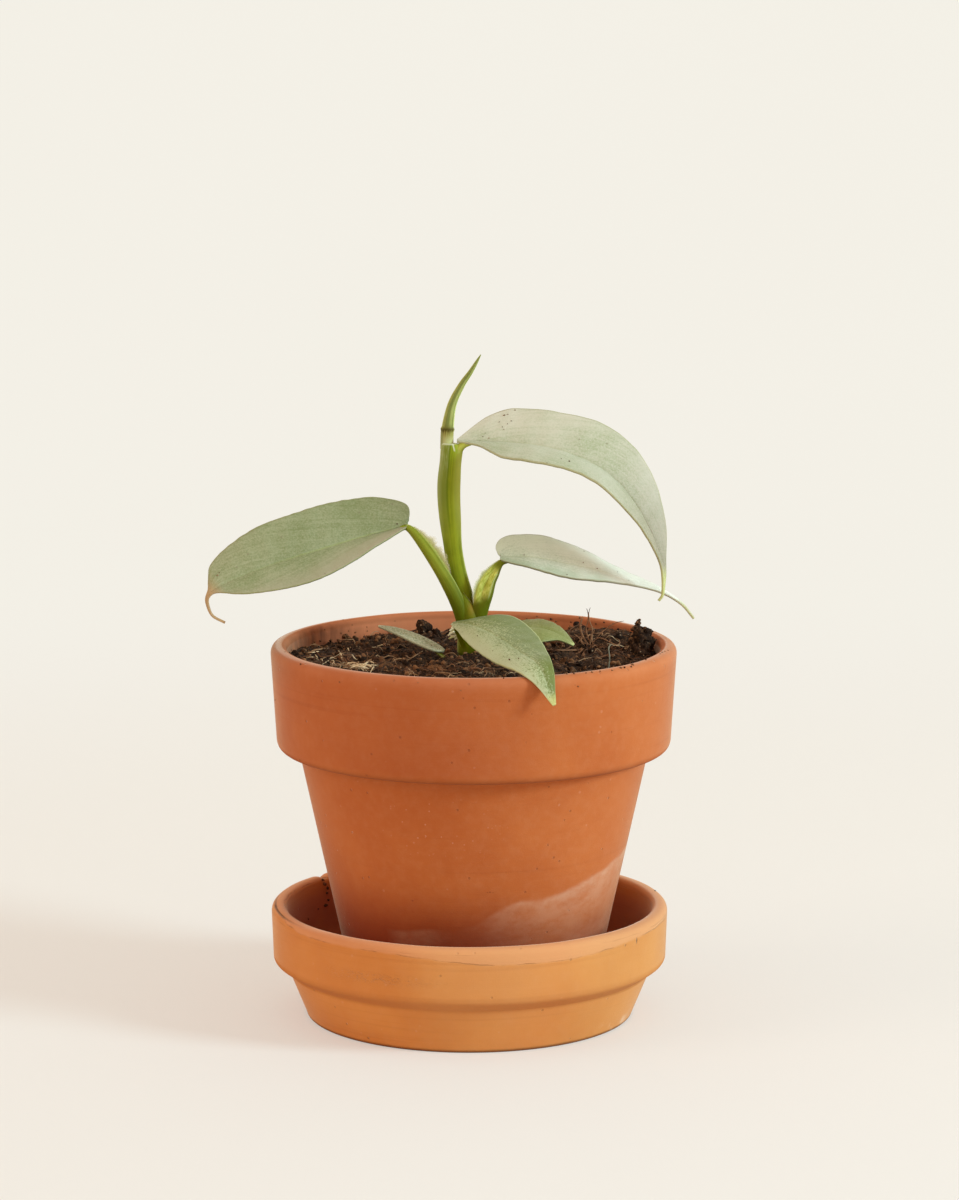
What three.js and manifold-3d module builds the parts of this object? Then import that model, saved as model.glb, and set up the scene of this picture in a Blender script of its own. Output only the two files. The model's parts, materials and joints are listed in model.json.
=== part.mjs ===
// Potted philodendron hastatum: a baby plant in a terracotta pot on its saucer.
// Millimetres, +Z up. The origin is the centre of the saucer's underside, and the
// front of the plant, over which its low leaf hangs, faces -Y.
import * as THREE from 'three';
import { mergeVertices } from 'three/addons/utils/BufferGeometryUtils.js';
import Module from 'manifold-3d';

const wasm = await Module();
wasm.setup();

// Driving dimensions of the saucer
const SAUCER_RIM_RADIUS = 59;
const SAUCER_HEIGHT = 33.4;
const SAUCER_LIP_WIDTH = 4.5;
const SAUCER_LIP_OUTER_ROUND = 2.8;
const SAUCER_LIP_INNER_ROUND = 1.7;
const SAUCER_FLOOR = 6;
const SAUCER_FLOOR_RADIUS = 44.8;
const SAUCER_FLOOR_ROUND = 5;
const SAUCER_FOOT_RADIUS = 48.3;
const SAUCER_WAIST_RADIUS = 54;
const SAUCER_WAIST_HEIGHT = 13.9;
const SAUCER_BAND_RADIUS = 58.5;
const SAUCER_BAND_BOTTOM = 17.8;
const SAUCER_BAND_BEVEL = 1.2;
const FOOT_BEVEL = 0.9;

// Driving dimensions of the pot, which stands a little off the saucer's centre
const POT_OFFSET_X = 1.3;
const POT_RIM_RADIUS = 60;
const POT_TOP = 111.3;
const POT_LIP_WIDTH = 4.7;
const POT_LIP_OUTER_ROUND = 3;
const POT_LIP_INNER_ROUND = 1.7;
const POT_BAND_BOTTOM = 84;
const POT_BAND_BOTTOM_RADIUS = 58.1;
const POT_BAND_ROUND = 4.2;
const POT_WAIST_HEIGHT = 79.8;
const POT_WAIST_RADIUS = 51.7;
const POT_FOOT_RADIUS = 35.6;
const POT_WALL = 5;
const POT_FLOOR = 7;
const DRAIN_RADIUS = 6;

// Driving dimensions of the soil
const SOIL_LEVEL = 105.8;
const SOIL_EDGE_DROP = 3;
const SOIL_CLEARANCE = 0.3;
const CLOD_COUNT = 34;
const CLOD_REACH = 51;
const RIM_CLOD = { x: 50.2, y: 8, size: [3, 3.2, 6.6], lift: 3.2 };
const BACK_CLOD = { x: -13.6, y: 41, size: [2.8, 2.6, 2.6], lift: 1 };

// Driving dimensions of the plant; seam is the clearance between pieces that clasp each other
const BLADE_THICKNESS = 0.75;
const LOBE_PLACE = 0.02;
const WING_ANGLE = 0.8;
const WING_SPREAD = 0.35;
const CHANNEL_SPREAD = 0.55;
const SEAM = 0.35;
const NUBS = { count: 5, length: 1.9, radius: 0.9, firstTurn: 162, turnStep: 11, lowest: 109.6, rise: 1.15 };

// Fineness of the shapes
const TURNED_SEGMENTS = 52;
const SOIL_SEGMENTS = 36;
const SOIL_RINGS = [1, 0.87, 0.74, 0.6, 0.45, 0.3, 0.15];
const LARGE_BLADE = { steps: 24, columns: 3 };
const SMALL_BLADE = { steps: 12, columns: 2 };
const END_CROWDING = 0.1;
const TANGENT_STEP = 0.02;
const CURVE_SAMPLES = 800;
const SEED = 71;

const degrees = THREE.MathUtils.degToRad;
const point = ([x, y, z]) => new THREE.Vector3(x, y, z);

// Materials
const terracotta = (color) => new THREE.MeshStandardMaterial({ color, roughness: 0.85, metalness: 0 });
const pottingSoil = () => new THREE.MeshStandardMaterial({ color: 0x34241a, roughness: 1, metalness: 0 });
const greenStem = () => new THREE.MeshStandardMaterial({ color: 0x8a9a2e, roughness: 0.5, metalness: 0 });
const leafSkin = (color) => new THREE.MeshStandardMaterial({ color, roughness: 0.6, metalness: 0 });

// Small seeded random numbers from 0 to 1, the same in each run
function seededRandom(seed) {
  let state = seed;
  return () => {
    state = (state * 16807) % 2147483647;
    return state / 2147483647;
  };
}

// A geometry as a closed solid: shared vertices are merged and collapsed triangles dropped
function toSolid(geometry) {
  const bare = geometry.clone();
  bare.deleteAttribute('normal');
  bare.deleteAttribute('uv');
  bare.clearGroups();
  const merged = mergeVertices(bare, 1e-4);
  const corners = merged.index.array;
  const kept = [];
  for (let i = 0; i < corners.length; i += 3) {
    const [a, b, c] = [corners[i], corners[i + 1], corners[i + 2]];
    if (a !== b && b !== c && c !== a) kept.push(a, b, c);
  }
  return new wasm.Manifold(new wasm.Mesh({
    numProp: 3,
    vertProperties: new Float32Array(merged.attributes.position.array),
    triVerts: new Uint32Array(kept),
  }));
}

// A solid back as a geometry
function toGeometry(solid) {
  const mesh = solid.getMesh();
  const geometry = new THREE.BufferGeometry();
  geometry.setAttribute('position', new THREE.BufferAttribute(mesh.vertProperties, 3));
  geometry.setIndex(new THREE.BufferAttribute(mesh.triVerts, 1));
  geometry.computeVertexNormals();
  return geometry;
}

// Of the pieces that a cut leaves, the largest
function largestPiece(solid) {
  const pieces = solid.decompose();
  return pieces.reduce((best, piece) => (piece.volume() > best.volume() ? piece : best));
}

// Points along an arc in a profile, from one angle to another in degrees
function arc(radius, height, round, from, to, steps) {
  const points = [];
  for (let i = 0; i <= steps; i += 1) {
    const angle = degrees(from + ((to - from) * i) / steps);
    points.push(new THREE.Vector2(radius + round * Math.cos(angle), height + round * Math.sin(angle)));
  }
  return points;
}

// A profile turned about the vertical axis; it is drawn anticlockwise, with the axis on its left
function turned(profile) {
  return new THREE.LatheGeometry(profile, TURNED_SEGMENTS).rotateX(Math.PI / 2);
}

// The rounded lip on top of a wall, from its outer side to its inner side
function lip(outerRadius, top, width, outerRound, innerRound) {
  return [
    ...arc(outerRadius - outerRound, top - outerRound, outerRound, 0, 90, 5),
    ...arc(outerRadius - width + innerRound, top - innerRound, innerRound, 90, 180, 4),
  ];
}

// The saucer: a flat foot, a waist, a straight band and a rounded lip round a wide dish
function saucerGeometry() {
  const innerRadius = SAUCER_RIM_RADIUS - SAUCER_LIP_WIDTH;
  const profile = [
    new THREE.Vector2(0, 0),
    new THREE.Vector2(SAUCER_FOOT_RADIUS - FOOT_BEVEL, 0),
    new THREE.Vector2(SAUCER_FOOT_RADIUS, FOOT_BEVEL),
    new THREE.Vector2(SAUCER_WAIST_RADIUS, SAUCER_WAIST_HEIGHT),
    new THREE.Vector2(SAUCER_BAND_RADIUS - SAUCER_BAND_BEVEL, SAUCER_BAND_BOTTOM - SAUCER_BAND_BEVEL),
    new THREE.Vector2(SAUCER_BAND_RADIUS, SAUCER_BAND_BOTTOM),
    ...lip(
      SAUCER_RIM_RADIUS, SAUCER_HEIGHT, SAUCER_LIP_WIDTH, SAUCER_LIP_OUTER_ROUND, SAUCER_LIP_INNER_ROUND,
    ),
    new THREE.Vector2(innerRadius - 1, SAUCER_BAND_BOTTOM),
    ...arc(SAUCER_FLOOR_RADIUS, SAUCER_FLOOR + SAUCER_FLOOR_ROUND, SAUCER_FLOOR_ROUND, -10, -90, 4),
    new THREE.Vector2(0, SAUCER_FLOOR),
  ];
  return turned(profile);
}

// The inner wall of the pot, from under the lip down to the edge of its floor
function potInnerWall() {
  const floorTop = SAUCER_FLOOR + POT_FLOOR;
  return [
    new THREE.Vector2(POT_RIM_RADIUS - POT_LIP_WIDTH, POT_TOP - POT_LIP_INNER_ROUND),
    new THREE.Vector2(POT_RIM_RADIUS - POT_LIP_WIDTH - 1.4, POT_BAND_BOTTOM + 4),
    new THREE.Vector2(POT_WAIST_RADIUS - POT_WALL, POT_WAIST_HEIGHT - 4),
    new THREE.Vector2(POT_FOOT_RADIUS - 2, floorTop + 3),
    new THREE.Vector2(POT_FOOT_RADIUS - 5, floorTop),
  ];
}

// The pot: a tapered body under a thick rim band, with one drain hole in its floor
function potGeometry() {
  const foot = SAUCER_FLOOR;
  const [, ...innerBelowLip] = potInnerWall();
  const profile = [
    new THREE.Vector2(DRAIN_RADIUS, foot),
    new THREE.Vector2(POT_FOOT_RADIUS - FOOT_BEVEL, foot),
    new THREE.Vector2(POT_FOOT_RADIUS, foot + FOOT_BEVEL),
    new THREE.Vector2(POT_WAIST_RADIUS, POT_WAIST_HEIGHT),
    ...arc(POT_BAND_BOTTOM_RADIUS - POT_BAND_ROUND, POT_BAND_BOTTOM, POT_BAND_ROUND, -60, 0, 4),
    ...lip(POT_RIM_RADIUS, POT_TOP, POT_LIP_WIDTH, POT_LIP_OUTER_ROUND, POT_LIP_INNER_ROUND),
    ...innerBelowLip,
    new THREE.Vector2(DRAIN_RADIUS, foot + POT_FLOOR),
    new THREE.Vector2(DRAIN_RADIUS, foot),
  ];
  return turned(profile);
}

// Height of the soil at a place: it rises to the right and to the back right, with soft lumps
function soilHeight(x, y) {
  const slope = (1.1 * x) / POT_RIM_RADIUS;
  const bank = 3 * Math.exp(-((x - 33) ** 2 + (y - 38) ** 2) / 380);
  const lumps = 0.55 * Math.sin(0.31 * x + 0.9) * Math.sin(0.27 * y + 0.4);
  const ripples = 0.35 * Math.sin(0.62 * x - 0.3 * y);
  return SOIL_LEVEL + slope + bank + lumps + ripples;
}

// Clods on the soil: the tall one at the rim, the one at the back and small ones sown at random,
// clear of the stems and of the low leaves
function clods() {
  const random = seededRandom(SEED);
  const rows = [RIM_CLOD, BACK_CLOD];
  while (rows.length < CLOD_COUNT) {
    const angle = random() * Math.PI * 2;
    const reach = CLOD_REACH * Math.sqrt(random());
    const half = 1 + 1.3 * random();
    const x = reach * Math.cos(angle);
    const y = reach * Math.sin(angle);
    const size = [half * (0.8 + 0.5 * random()), half, half * (0.6 + 0.4 * random())];
    const nearStems = Math.abs(x - 2) < 13 && y > -13 && y < 15;
    const underLeaves = x > -32 && x < 34 && y > -4 && y < 18;
    if (!nearStems && !underLeaves) rows.push({ x, y, size, lift: 0.1 });
  }
  return rows;
}

// The soil: it fills the pot down to its floor, and clods grow out of its lumpy top
function soilGeometry(stems) {
  const [rim, underBand, ...lower] = potInnerWall();
  const share = (SOIL_LEVEL - SOIL_EDGE_DROP - underBand.y) / (rim.y - underBand.y);
  const edge = underBand.x + (rim.x - underBand.x) * share - SOIL_CLEARANCE;
  const profile = [
    new THREE.Vector2(0, SAUCER_FLOOR + POT_FLOOR),
    ...[underBand, ...lower].reverse().map((p) => new THREE.Vector2(p.x - SOIL_CLEARANCE, p.y)),
    ...SOIL_RINGS.map((part) => new THREE.Vector2(edge * part, SOIL_LEVEL)),
    new THREE.Vector2(0, SOIL_LEVEL),
  ];
  const body = new THREE.LatheGeometry(profile, SOIL_SEGMENTS).rotateX(Math.PI / 2);
  const vertices = body.attributes.position;
  for (let i = 0; i < vertices.count; i += 1) {
    const onTop = vertices.getZ(i) > SOIL_LEVEL - SOIL_CLEARANCE;
    if (onTop) vertices.setZ(i, soilHeight(vertices.getX(i), vertices.getY(i)));
  }
  let soil = toSolid(body);
  for (const { x, y, size, lift } of clods()) {
    const clod = new THREE.IcosahedronGeometry(1).rotateZ(x).rotateX(y);
    clod.scale(...size).translate(x, y, soilHeight(x, y) + lift);
    soil = soil.add(toSolid(clod));
  }
  for (const stem of stems) soil = soil.subtract(toSolid(stemGeometry(stem, SEAM)));
  return toGeometry(largestPiece(soil));
}

// A smooth curve of one value over rows that start with their place from 0 to 1
function valueCurve(rows, column) {
  const places = rows.map((row) => new THREE.Vector3(row[0], row[column], 0));
  const samples = new THREE.CatmullRomCurve3(places, false, 'catmullrom', 0.5).getPoints(CURVE_SAMPLES);
  return (place) => {
    let k = 1;
    while (k < samples.length - 1 && samples[k].x < place) k += 1;
    const [a, b] = [samples[k - 1], samples[k]];
    return a.y + ((b.y - a.y) * THREE.MathUtils.clamp(place - a.x, 0, b.x - a.x)) / (b.x - a.x || 1);
  };
}

// Frames along a path: place, direction, side vector and the normal square to both.
// Crowding brings them closer together at the two ends.
function framesAlong(path, side, steps, crowding = 0) {
  const curve = new THREE.CatmullRomCurve3(path.map(point), false, 'catmullrom', 0.5);
  curve.arcLengthDivisions = CURVE_SAMPLES;
  const at = (s) => curve.getPointAt(THREE.MathUtils.clamp(s, 0, 1));
  const sideAt = [1, 2, 3].map((column) => valueCurve(side, column));
  const places = Array.from({ length: steps + 1 }, (_, i) => (
    i / steps - crowding * Math.sin((2 * Math.PI * i) / steps)
  ));
  const frames = [];
  for (const s of places) {
    const along = at(s + TANGENT_STEP).sub(at(s - TANGENT_STEP)).normalize();
    const across = new THREE.Vector3(...sideAt.map((value) => value(s)));
    across.addScaledVector(along, -across.dot(along)).normalize();
    const normal = new THREE.Vector3().crossVectors(across, along);
    frames.push({ s, place: at(s), along, across, normal });
  }
  return frames;
}

// A leaf blade: two halves folded up along the midrib, with curled margins and its real edge.
// Both faces are split alike; grow makes the slightly larger body that clears its neighbours.
function bladeGeometry(leaf, grow = 0) {
  const steps = leaf.mesh.steps;
  const halfColumns = leaf.mesh.columns;
  const frames = framesAlong(leaf.midrib, leaf.side, steps, END_CROWDING);
  const widths = [valueCurve(leaf.width, 1), valueCurve(leaf.width, 2)];
  const folds = [valueCurve(leaf.fold, 1), valueCurve(leaf.fold, 2)];
  const columns = 2 * halfColumns + 1;
  const half = BLADE_THICKNESS / 2 + grow;
  const positions = [];
  for (const face of [1, -1]) {
    frames.forEach(({ s, place, along, across, normal }, row) => {
      const stretch = row === 0 ? -grow : row === steps ? grow : 0;
      for (let column = 0; column < columns; column += 1) {
        const part = column / halfColumns - 1;
        const share = Math.abs(part);
        const margin = part < 0 ? 0 : 1;
        const width = widths[margin](s);
        const fold = degrees(folds[margin](s));
        const lateral = (width * Math.cos(fold) + grow) * part;
        const rise = width * (share * Math.sin(fold) - leaf.curl * share * share);
        const q = s / LOBE_PLACE;
        const back = leaf.lobe[margin] * share ** 1.5 * q * Math.exp(1 - q);
        positions.push(...place.clone()
          .addScaledVector(across, lateral)
          .addScaledVector(normal, rise + face * half)
          .addScaledVector(along, stretch - back));
      }
    });
  }
  const bottom = (steps + 1) * columns;
  const index = [];
  const quad = (a, b, c, d) => index.push(a, b, d, b, c, d);
  for (let row = 0; row < steps; row += 1) {
    for (let column = 0; column < columns - 1; column += 1) {
      const a = row * columns + column;
      index.push(a, a + 1, a + columns, a + 1, a + columns + 1, a + columns);
      const b = a + bottom;
      index.push(b, b + columns, b + 1, b + 1, b + columns, b + columns + 1);
    }
    const left = row * columns;
    const right = left + columns - 1;
    quad(left, left + columns, left + columns + bottom, left + bottom);
    quad(right, right + bottom, right + columns + bottom, right + columns);
  }
  const last = steps * columns;
  for (let column = 0; column < columns - 1; column += 1) {
    quad(column, column + bottom, column + 1 + bottom, column + 1);
    quad(last + column, last + column + 1, last + column + 1 + bottom, last + column + bottom);
  }
  const geometry = new THREE.BufferGeometry();
  geometry.setAttribute('position', new THREE.Float32BufferAttribute(positions, 3));
  geometry.setIndex(index);
  return geometry;
}

// A smooth bump over an angle, 1 in its middle and almost 0 past twice its spread
function bump(angle, spread) {
  const turn = Math.atan2(Math.sin(angle), Math.cos(angle));
  return Math.exp(-((turn / spread) ** 2));
}

// A stem: an oval rod along a path, which may have a channel between two wings on one side.
// The rows of radii are place, half width and half depth; those of the channel are place,
// depth and wing as parts of the radius.
function stemGeometry(stem, grow = 0) {
  const steps = stem.steps ?? 10;
  const sides = stem.sides ?? 12;
  const frames = framesAlong(stem.path, [[0, ...stem.side], [1, ...stem.side]], steps);
  const radii = [valueCurve(stem.radii, 1), valueCurve(stem.radii, 2)];
  const channel = stem.channel && [valueCurve(stem.channel.rows, 1), valueCurve(stem.channel.rows, 2)];
  const rod = new THREE.CylinderGeometry(1, 1, 1, sides, steps);
  const vertices = rod.attributes.position;
  for (let i = 0; i < vertices.count; i += 1) {
    const s = vertices.getY(i) + 0.5;
    const row = Math.round(s * steps);
    const { place, along, across, normal } = frames[row];
    const [x, z] = [vertices.getX(i), vertices.getZ(i)];
    let swell = 1;
    if (channel) {
      const from = Math.atan2(z, x) - degrees(stem.channel.angle);
      const wings = bump(from - WING_ANGLE, WING_SPREAD) + bump(from + WING_ANGLE, WING_SPREAD);
      swell += channel[1](s) * wings - channel[0](s) * bump(from, CHANNEL_SPREAD);
    }
    const end = row === 0 ? -grow : row === steps ? grow : 0;
    const moved = place.clone()
      .addScaledVector(across, x * (radii[0](s) * swell + grow))
      .addScaledVector(normal, z * (radii[1](s) * swell + grow))
      .addScaledVector(along, end);
    vertices.setXYZ(i, moved.x, moved.y, moved.z);
  }
  return rod;
}

// Leaves. The side vector points to the right margin, seen along the midrib from above; the
// rows of width are place, left half and right half, and those of fold are in degrees.
const LEAF_TOP = {
  mesh: LARGE_BLADE,
  midrib: [
    [-3.6, 5, 170.4], [9, 3.5, 170.2], [22.5, 1, 169], [34.5, -1.5, 165.2],
    [44, -4, 158.6], [51.8, -7, 147.4], [56, -9.5, 136.5], [56.1, -11, 126.6],
  ],
  side: [[0, 0, -0.72, -0.57], [0.5, -0.42, -0.75, -0.38], [1, -0.66, -0.75, 0]],
  width: [
    [0, 1.5, 1], [0.07, 6.8, 3.8], [0.17, 11.4, 10.2], [0.3, 12.8, 12.6], [0.45, 14, 12.4],
    [0.6, 11.2, 12], [0.75, 6.5, 5.8], [0.87, 1.9, 1.6], [0.94, 0.8, 0.7], [1, 0.35, 0.35],
  ],
  fold: [[0, 30, 22], [0.3, 28, 24], [0.6, 26, 28], [1, 15, 20]],
  curl: 0.12,
  lobe: [0, 0],
};
const LEAF_LEFT = {
  mesh: LARGE_BLADE,
  midrib: [
    [-18.3, 3, 145.6], [-31, 0, 142.6], [-44.5, -4, 139.2], [-58.5, -8, 135.3], [-68.5, -11, 131.7],
    [-73.9, -13, 129.2], [-76, -14, 127], [-75.8, -14, 124.2], [-74.4, -14, 121.5], [-71, -14, 119.6],
  ],
  side: [[0, -0.18, 0.69, 0.59], [0.35, -0.2, 0.57, 0.71], [0.6, -0.35, 0.52, 0.68], [1, -0.85, 0.5, 0.2]],
  width: [
    [0, 0.8, 1], [0.02, 1.5, 6.6], [0.06, 2.8, 10.2], [0.12, 4.5, 12.4], [0.27, 7.9, 13.8], [0.42, 9.7, 13.6],
    [0.57, 9, 12.9], [0.7, 6.6, 10.2], [0.78, 3.6, 6.8], [0.83, 1.5, 2.6], [0.9, 0.7, 0.7], [1, 0.4, 0.4],
  ],
  fold: [[0, 24, 24], [0.3, 14, 14], [0.7, 9, 9], [1, 0, 0]],
  curl: 0.12,
  lobe: [0, 3.4],
};
const LEAF_RIGHT = {
  mesh: LARGE_BLADE,
  midrib: [
    [9.2, 3, 136.2], [18, 1.5, 136.4], [28, 0, 134.8], [38, -1.5, 132.8],
    [47.5, -3, 130.2], [56, -4, 127.3], [62, -5, 123.8], [65.8, -5.5, 119.4],
  ],
  side: [[0, 0.1, -0.75, -0.52], [0.3, 0, -0.8, -0.48], [0.6, -0.1, -0.94, -0.28], [1, -0.3, -1, -0.1]],
  width: [
    [0, 1, 0.8], [0.035, 7.2, 2], [0.1, 9, 3.6], [0.25, 9.4, 5.5], [0.42, 7.8, 5.8],
    [0.58, 5.1, 3.8], [0.7, 3.6, 1.9], [0.8, 2.4, 1], [0.9, 1.3, 0.7], [1, 0.4, 0.4],
  ],
  fold: [[0, 16, 12], [0.5, 10, 8], [1, 5, 5]],
  curl: 0.12,
  lobe: [2.7, 0.5],
};
const LEAF_FRONT = {
  mesh: LARGE_BLADE,
  midrib: [
    [-4.9, -3, 117.4], [1, -11, 118.2], [7.6, -24, 117.3],
    [14.2, -40, 115.6], [19.9, -54.2, 113.6], [23.9, -61.8, 104.4],
  ],
  side: [[0, -0.6, -0.6, -0.5], [0.4, -0.9, -0.35, -0.3], [1, -0.95, -0.2, -0.15]],
  width: [
    [0, 0.6, 0.6], [0.08, 3, 3.1], [0.2, 10.4, 5.8], [0.38, 10.6, 7.4],
    [0.55, 8.6, 6.9], [0.72, 5.6, 5.8], [0.87, 2.9, 2.9], [1, 0.5, 0.5],
  ],
  fold: [[0, 5, 5], [0.5, 0, 5], [1, 8, 8]],
  curl: 0.2,
  lobe: [0, 0],
};
const LEAF_SMALL_RIGHT = {
  mesh: SMALL_BLADE,
  midrib: [[9, 5, 112.4], [15, 5.5, 114.4], [21, 5, 114.6], [26.5, 4, 112.8], [30.8, 3, 109.9]],
  side: [[0, 0.1, -0.87, -0.42], [1, -0.1, -0.87, -0.42]],
  width: [[0, 0.8, 0.8], [0.12, 2.4, 5], [0.35, 4.1, 6], [0.6, 4.8, 6.3], [0.8, 3.3, 2.6], [1, 0.4, 0.4]],
  fold: [[0, 8, 8], [1, 8, 8]],
  curl: 0.2,
  lobe: [0, 0],
};
const LEAF_SMALL_LEFT = {
  mesh: SMALL_BLADE,
  midrib: [[-7.5, 3, 108.1], [-12.5, 5, 109.8], [-18, 8, 111.6], [-23, 11, 113], [-27, 14, 113.7]],
  side: [[0, 0.2, 1, 0.1], [1, 0.1, 1, 0]],
  width: [[0, 0.8, 0.8], [0.2, 3.8, 3.2], [0.45, 3.3, 4.6], [0.7, 1.6, 4], [1, 0.4, 0.4]],
  fold: [[0, 15, 15], [1, 10, 10]],
  curl: 0.2,
  lobe: [0, 0],
};

// Stems. Each path starts at the crown or in the soil and ends under its leaf.
const CROWN = {
  path: [[1.2, 4, 92], [1, 4, 104], [1, 4, 112], [0.6, 4, 117.4]],
  side: [1, 0, 0],
  radii: [[0, 2.6, 2.6], [0.3, 3.8, 3.8], [0.7, 4.4, 4.4], [0.92, 4, 4], [1, 2.8, 2.8]],
};
const PETIOLE_CENTRAL = {
  path: [[-0.6, 6, 114], [-1.7, 6, 122], [-3.8, 6, 133], [-5.3, 6, 146], [-5.9, 6, 158], [-5.5, 6, 169.4]],
  side: [1, 0, 0],
  radii: [[0, 3.1, 2.8], [0.2, 3.2, 2.6], [0.5, 3.3, 2.6], [0.8, 3.5, 2.6], [1, 3.6, 2.4]],
  channel: { angle: 200, rows: [[0, 0, 0], [0.3, 0.1, 0.08], [0.8, 0.12, 0.1], [1, 0.05, 0.05]] },
  steps: 14,
};
const PETIOLE_CENTRAL_NECK = {
  path: [[-3.6, 5.8, 164], [-2.8, 5.2, 168], [-0.6, 4.6, 169.6], [1.8, 4.2, 169.6]],
  side: [0, -1, 0],
  radii: [[0, 1.6, 1.6], [0.5, 1.5, 1.4], [1, 0.7, 0.7]],
  steps: 6,
  sides: 10,
};
const PETIOLE_LEFT = {
  path: [
    [-1.6, 1.6, 108], [-1.8, 1.2, 116], [-4, 0.8, 125.5],
    [-9.5, 1.4, 135.3], [-17.2, 2.8, 144.7], [-21, 2.4, 144.6],
  ],
  side: [1, 0, 0],
  radii: [[0, 2.4, 2.2], [0.3, 2.6, 2.2], [0.6, 2.1, 2], [0.88, 1.3, 1.3], [1, 0.6, 0.6]],
  channel: { angle: -35, rows: [[0, 0, 0], [0.3, 0.15, 0.25], [0.7, 0.2, 0.5], [0.88, 0, 0.1], [1, 0, 0]] },
  steps: 14,
};
const PETIOLE_RIGHT = {
  path: [[3.4, 4.2, 108], [3.8, 3.6, 118], [5.4, 3.1, 127.5], [8.7, 3, 135.2], [12, 2.8, 135.3]],
  side: [1, 0, 0],
  radii: [[0, 2.2, 2.2], [0.3, 2.6, 2.4], [0.6, 2.9, 2.3], [0.85, 1.3, 1.4], [1, 0.6, 0.6]],
  channel: { angle: 215, rows: [[0, 0, 0], [0.3, 0.3, 0.2], [0.6, 0.45, 0.35], [0.85, 0.1, 0.1], [1, 0, 0]] },
  steps: 12,
};
const PETIOLE_FRONT = {
  path: [[-1.6, 0.6, 107.5], [-3.2, -0.8, 111.5], [-4.6, -2.6, 115.6], [-3.2, -5.4, 117]],
  side: [1, 0, 0],
  radii: [[0, 1.1, 1.1], [0.7, 1, 1], [1, 0.6, 0.6]],
  steps: 6,
  sides: 8,
};
const PETIOLE_SMALL_RIGHT = {
  path: [[3.6, 3.6, 106.5], [6.4, 4.4, 109.4], [9, 5, 111.8], [11.6, 5.2, 112.7]],
  side: [0, 1, 0],
  radii: [[0, 0.9, 0.9], [0.7, 0.9, 0.9], [1, 0.5, 0.5]],
  steps: 5,
  sides: 8,
};
const PETIOLE_SMALL_LEFT = {
  path: [[-2, 3.2, 104.5], [-5, 2.8, 106.3], [-7.6, 3, 107.5], [-10.2, 4, 108.3]],
  side: [0, 1, 0],
  radii: [[0, 0.9, 0.9], [0.7, 0.9, 0.9], [1, 0.5, 0.5]],
  steps: 5,
  sides: 8,
};
const NEW_LEAF = {
  path: [
    [-6.4, 6.3, 170.1], [-6.5, 6.4, 174], [-5.6, 6.4, 181],
    [-3.4, 6.2, 186.4], [-0.4, 6, 190.9], [3.4, 5.8, 195.8],
  ],
  side: [1, 0, 0],
  radii: [[0, 1.9, 1.7], [0.2, 1.75, 1.6], [0.5, 1.35, 1.2], [0.8, 0.85, 0.8], [1, 0.3, 0.3]],
  channel: { angle: -70, rows: [[0, 0, 0], [0.3, 0.25, 0.15], [0.8, 0.3, 0.15], [1, 0, 0]] },
  steps: 12,
  sides: 12,
};

// The crown with the short nubs of its first aerial roots down its left side
function crownSolid(grow = 0) {
  let crown = toSolid(stemGeometry(CROWN, grow));
  const [centreX, centreY] = CROWN.path[2];
  const reach = CROWN.radii[2][1];
  for (let i = 0; i < NUBS.count; i += 1) {
    const turn = degrees(NUBS.firstTurn + NUBS.turnStep * i);
    const height = NUBS.lowest + NUBS.rise * ((i * 3) % NUBS.count);
    const nub = new THREE.SphereGeometry(1, 8, 6);
    nub.scale(NUBS.length + grow, NUBS.radius + grow, NUBS.radius + grow).rotateZ(turn);
    nub.translate(centreX + reach * Math.cos(turn), centreY + reach * Math.sin(turn), height);
    crown = crown.add(toSolid(nub));
  }
  return crown;
}

// A solid of one or more stems, and the larger one that clears its neighbours
const stemSolid = (...stems) => (grow = 0) => stems
  .map((stem) => toSolid(stemGeometry(stem, grow)))
  .reduce((joined, solid) => joined.add(solid));

// Stems in the order in which they clasp each other: each gives way to those before it
function carveStems() {
  const blades = [LEAF_TOP, LEAF_LEFT, LEAF_RIGHT, LEAF_FRONT, LEAF_SMALL_RIGHT, LEAF_SMALL_LEFT];
  const before = blades.map((leaf) => toSolid(bladeGeometry(leaf, SEAM)));
  const rows = {
    stem_crown: crownSolid,
    petiole_central: stemSolid(PETIOLE_CENTRAL, PETIOLE_CENTRAL_NECK),
    new_leaf: stemSolid(NEW_LEAF),
    petiole_left: stemSolid(PETIOLE_LEFT),
    petiole_right: stemSolid(PETIOLE_RIGHT),
    petiole_front: stemSolid(PETIOLE_FRONT),
    petiole_small_right: stemSolid(PETIOLE_SMALL_RIGHT),
    petiole_small_left: stemSolid(PETIOLE_SMALL_LEFT),
  };
  return Object.entries(rows).map(([name, solidOf]) => {
    const carved = before.reduce((solid, cutter) => solid.subtract(cutter), solidOf());
    before.push(solidOf(SEAM));
    return [name, toGeometry(largestPiece(carved))];
  });
}

// A named piece of the object
function piece(name, geometry, material) {
  const mesh = new THREE.Mesh(geometry, material);
  mesh.name = name;
  return mesh;
}

const plant = new THREE.Group();
plant.add(piece('leaf_top', bladeGeometry(LEAF_TOP), leafSkin(0xc3c8ae)));
plant.add(piece('leaf_left', bladeGeometry(LEAF_LEFT), leafSkin(0x95a07b)));
plant.add(piece('leaf_right', bladeGeometry(LEAF_RIGHT), leafSkin(0xb7bb9c)));
plant.add(piece('leaf_front', bladeGeometry(LEAF_FRONT), leafSkin(0x9fb082)));
plant.add(piece('leaf_small_right', bladeGeometry(LEAF_SMALL_RIGHT), leafSkin(0x9db080)));
plant.add(piece('leaf_small_left', bladeGeometry(LEAF_SMALL_LEFT), leafSkin(0xa9ad90)));
for (const [name, geometry] of carveStems()) plant.add(piece(name, geometry, greenStem()));

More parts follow.
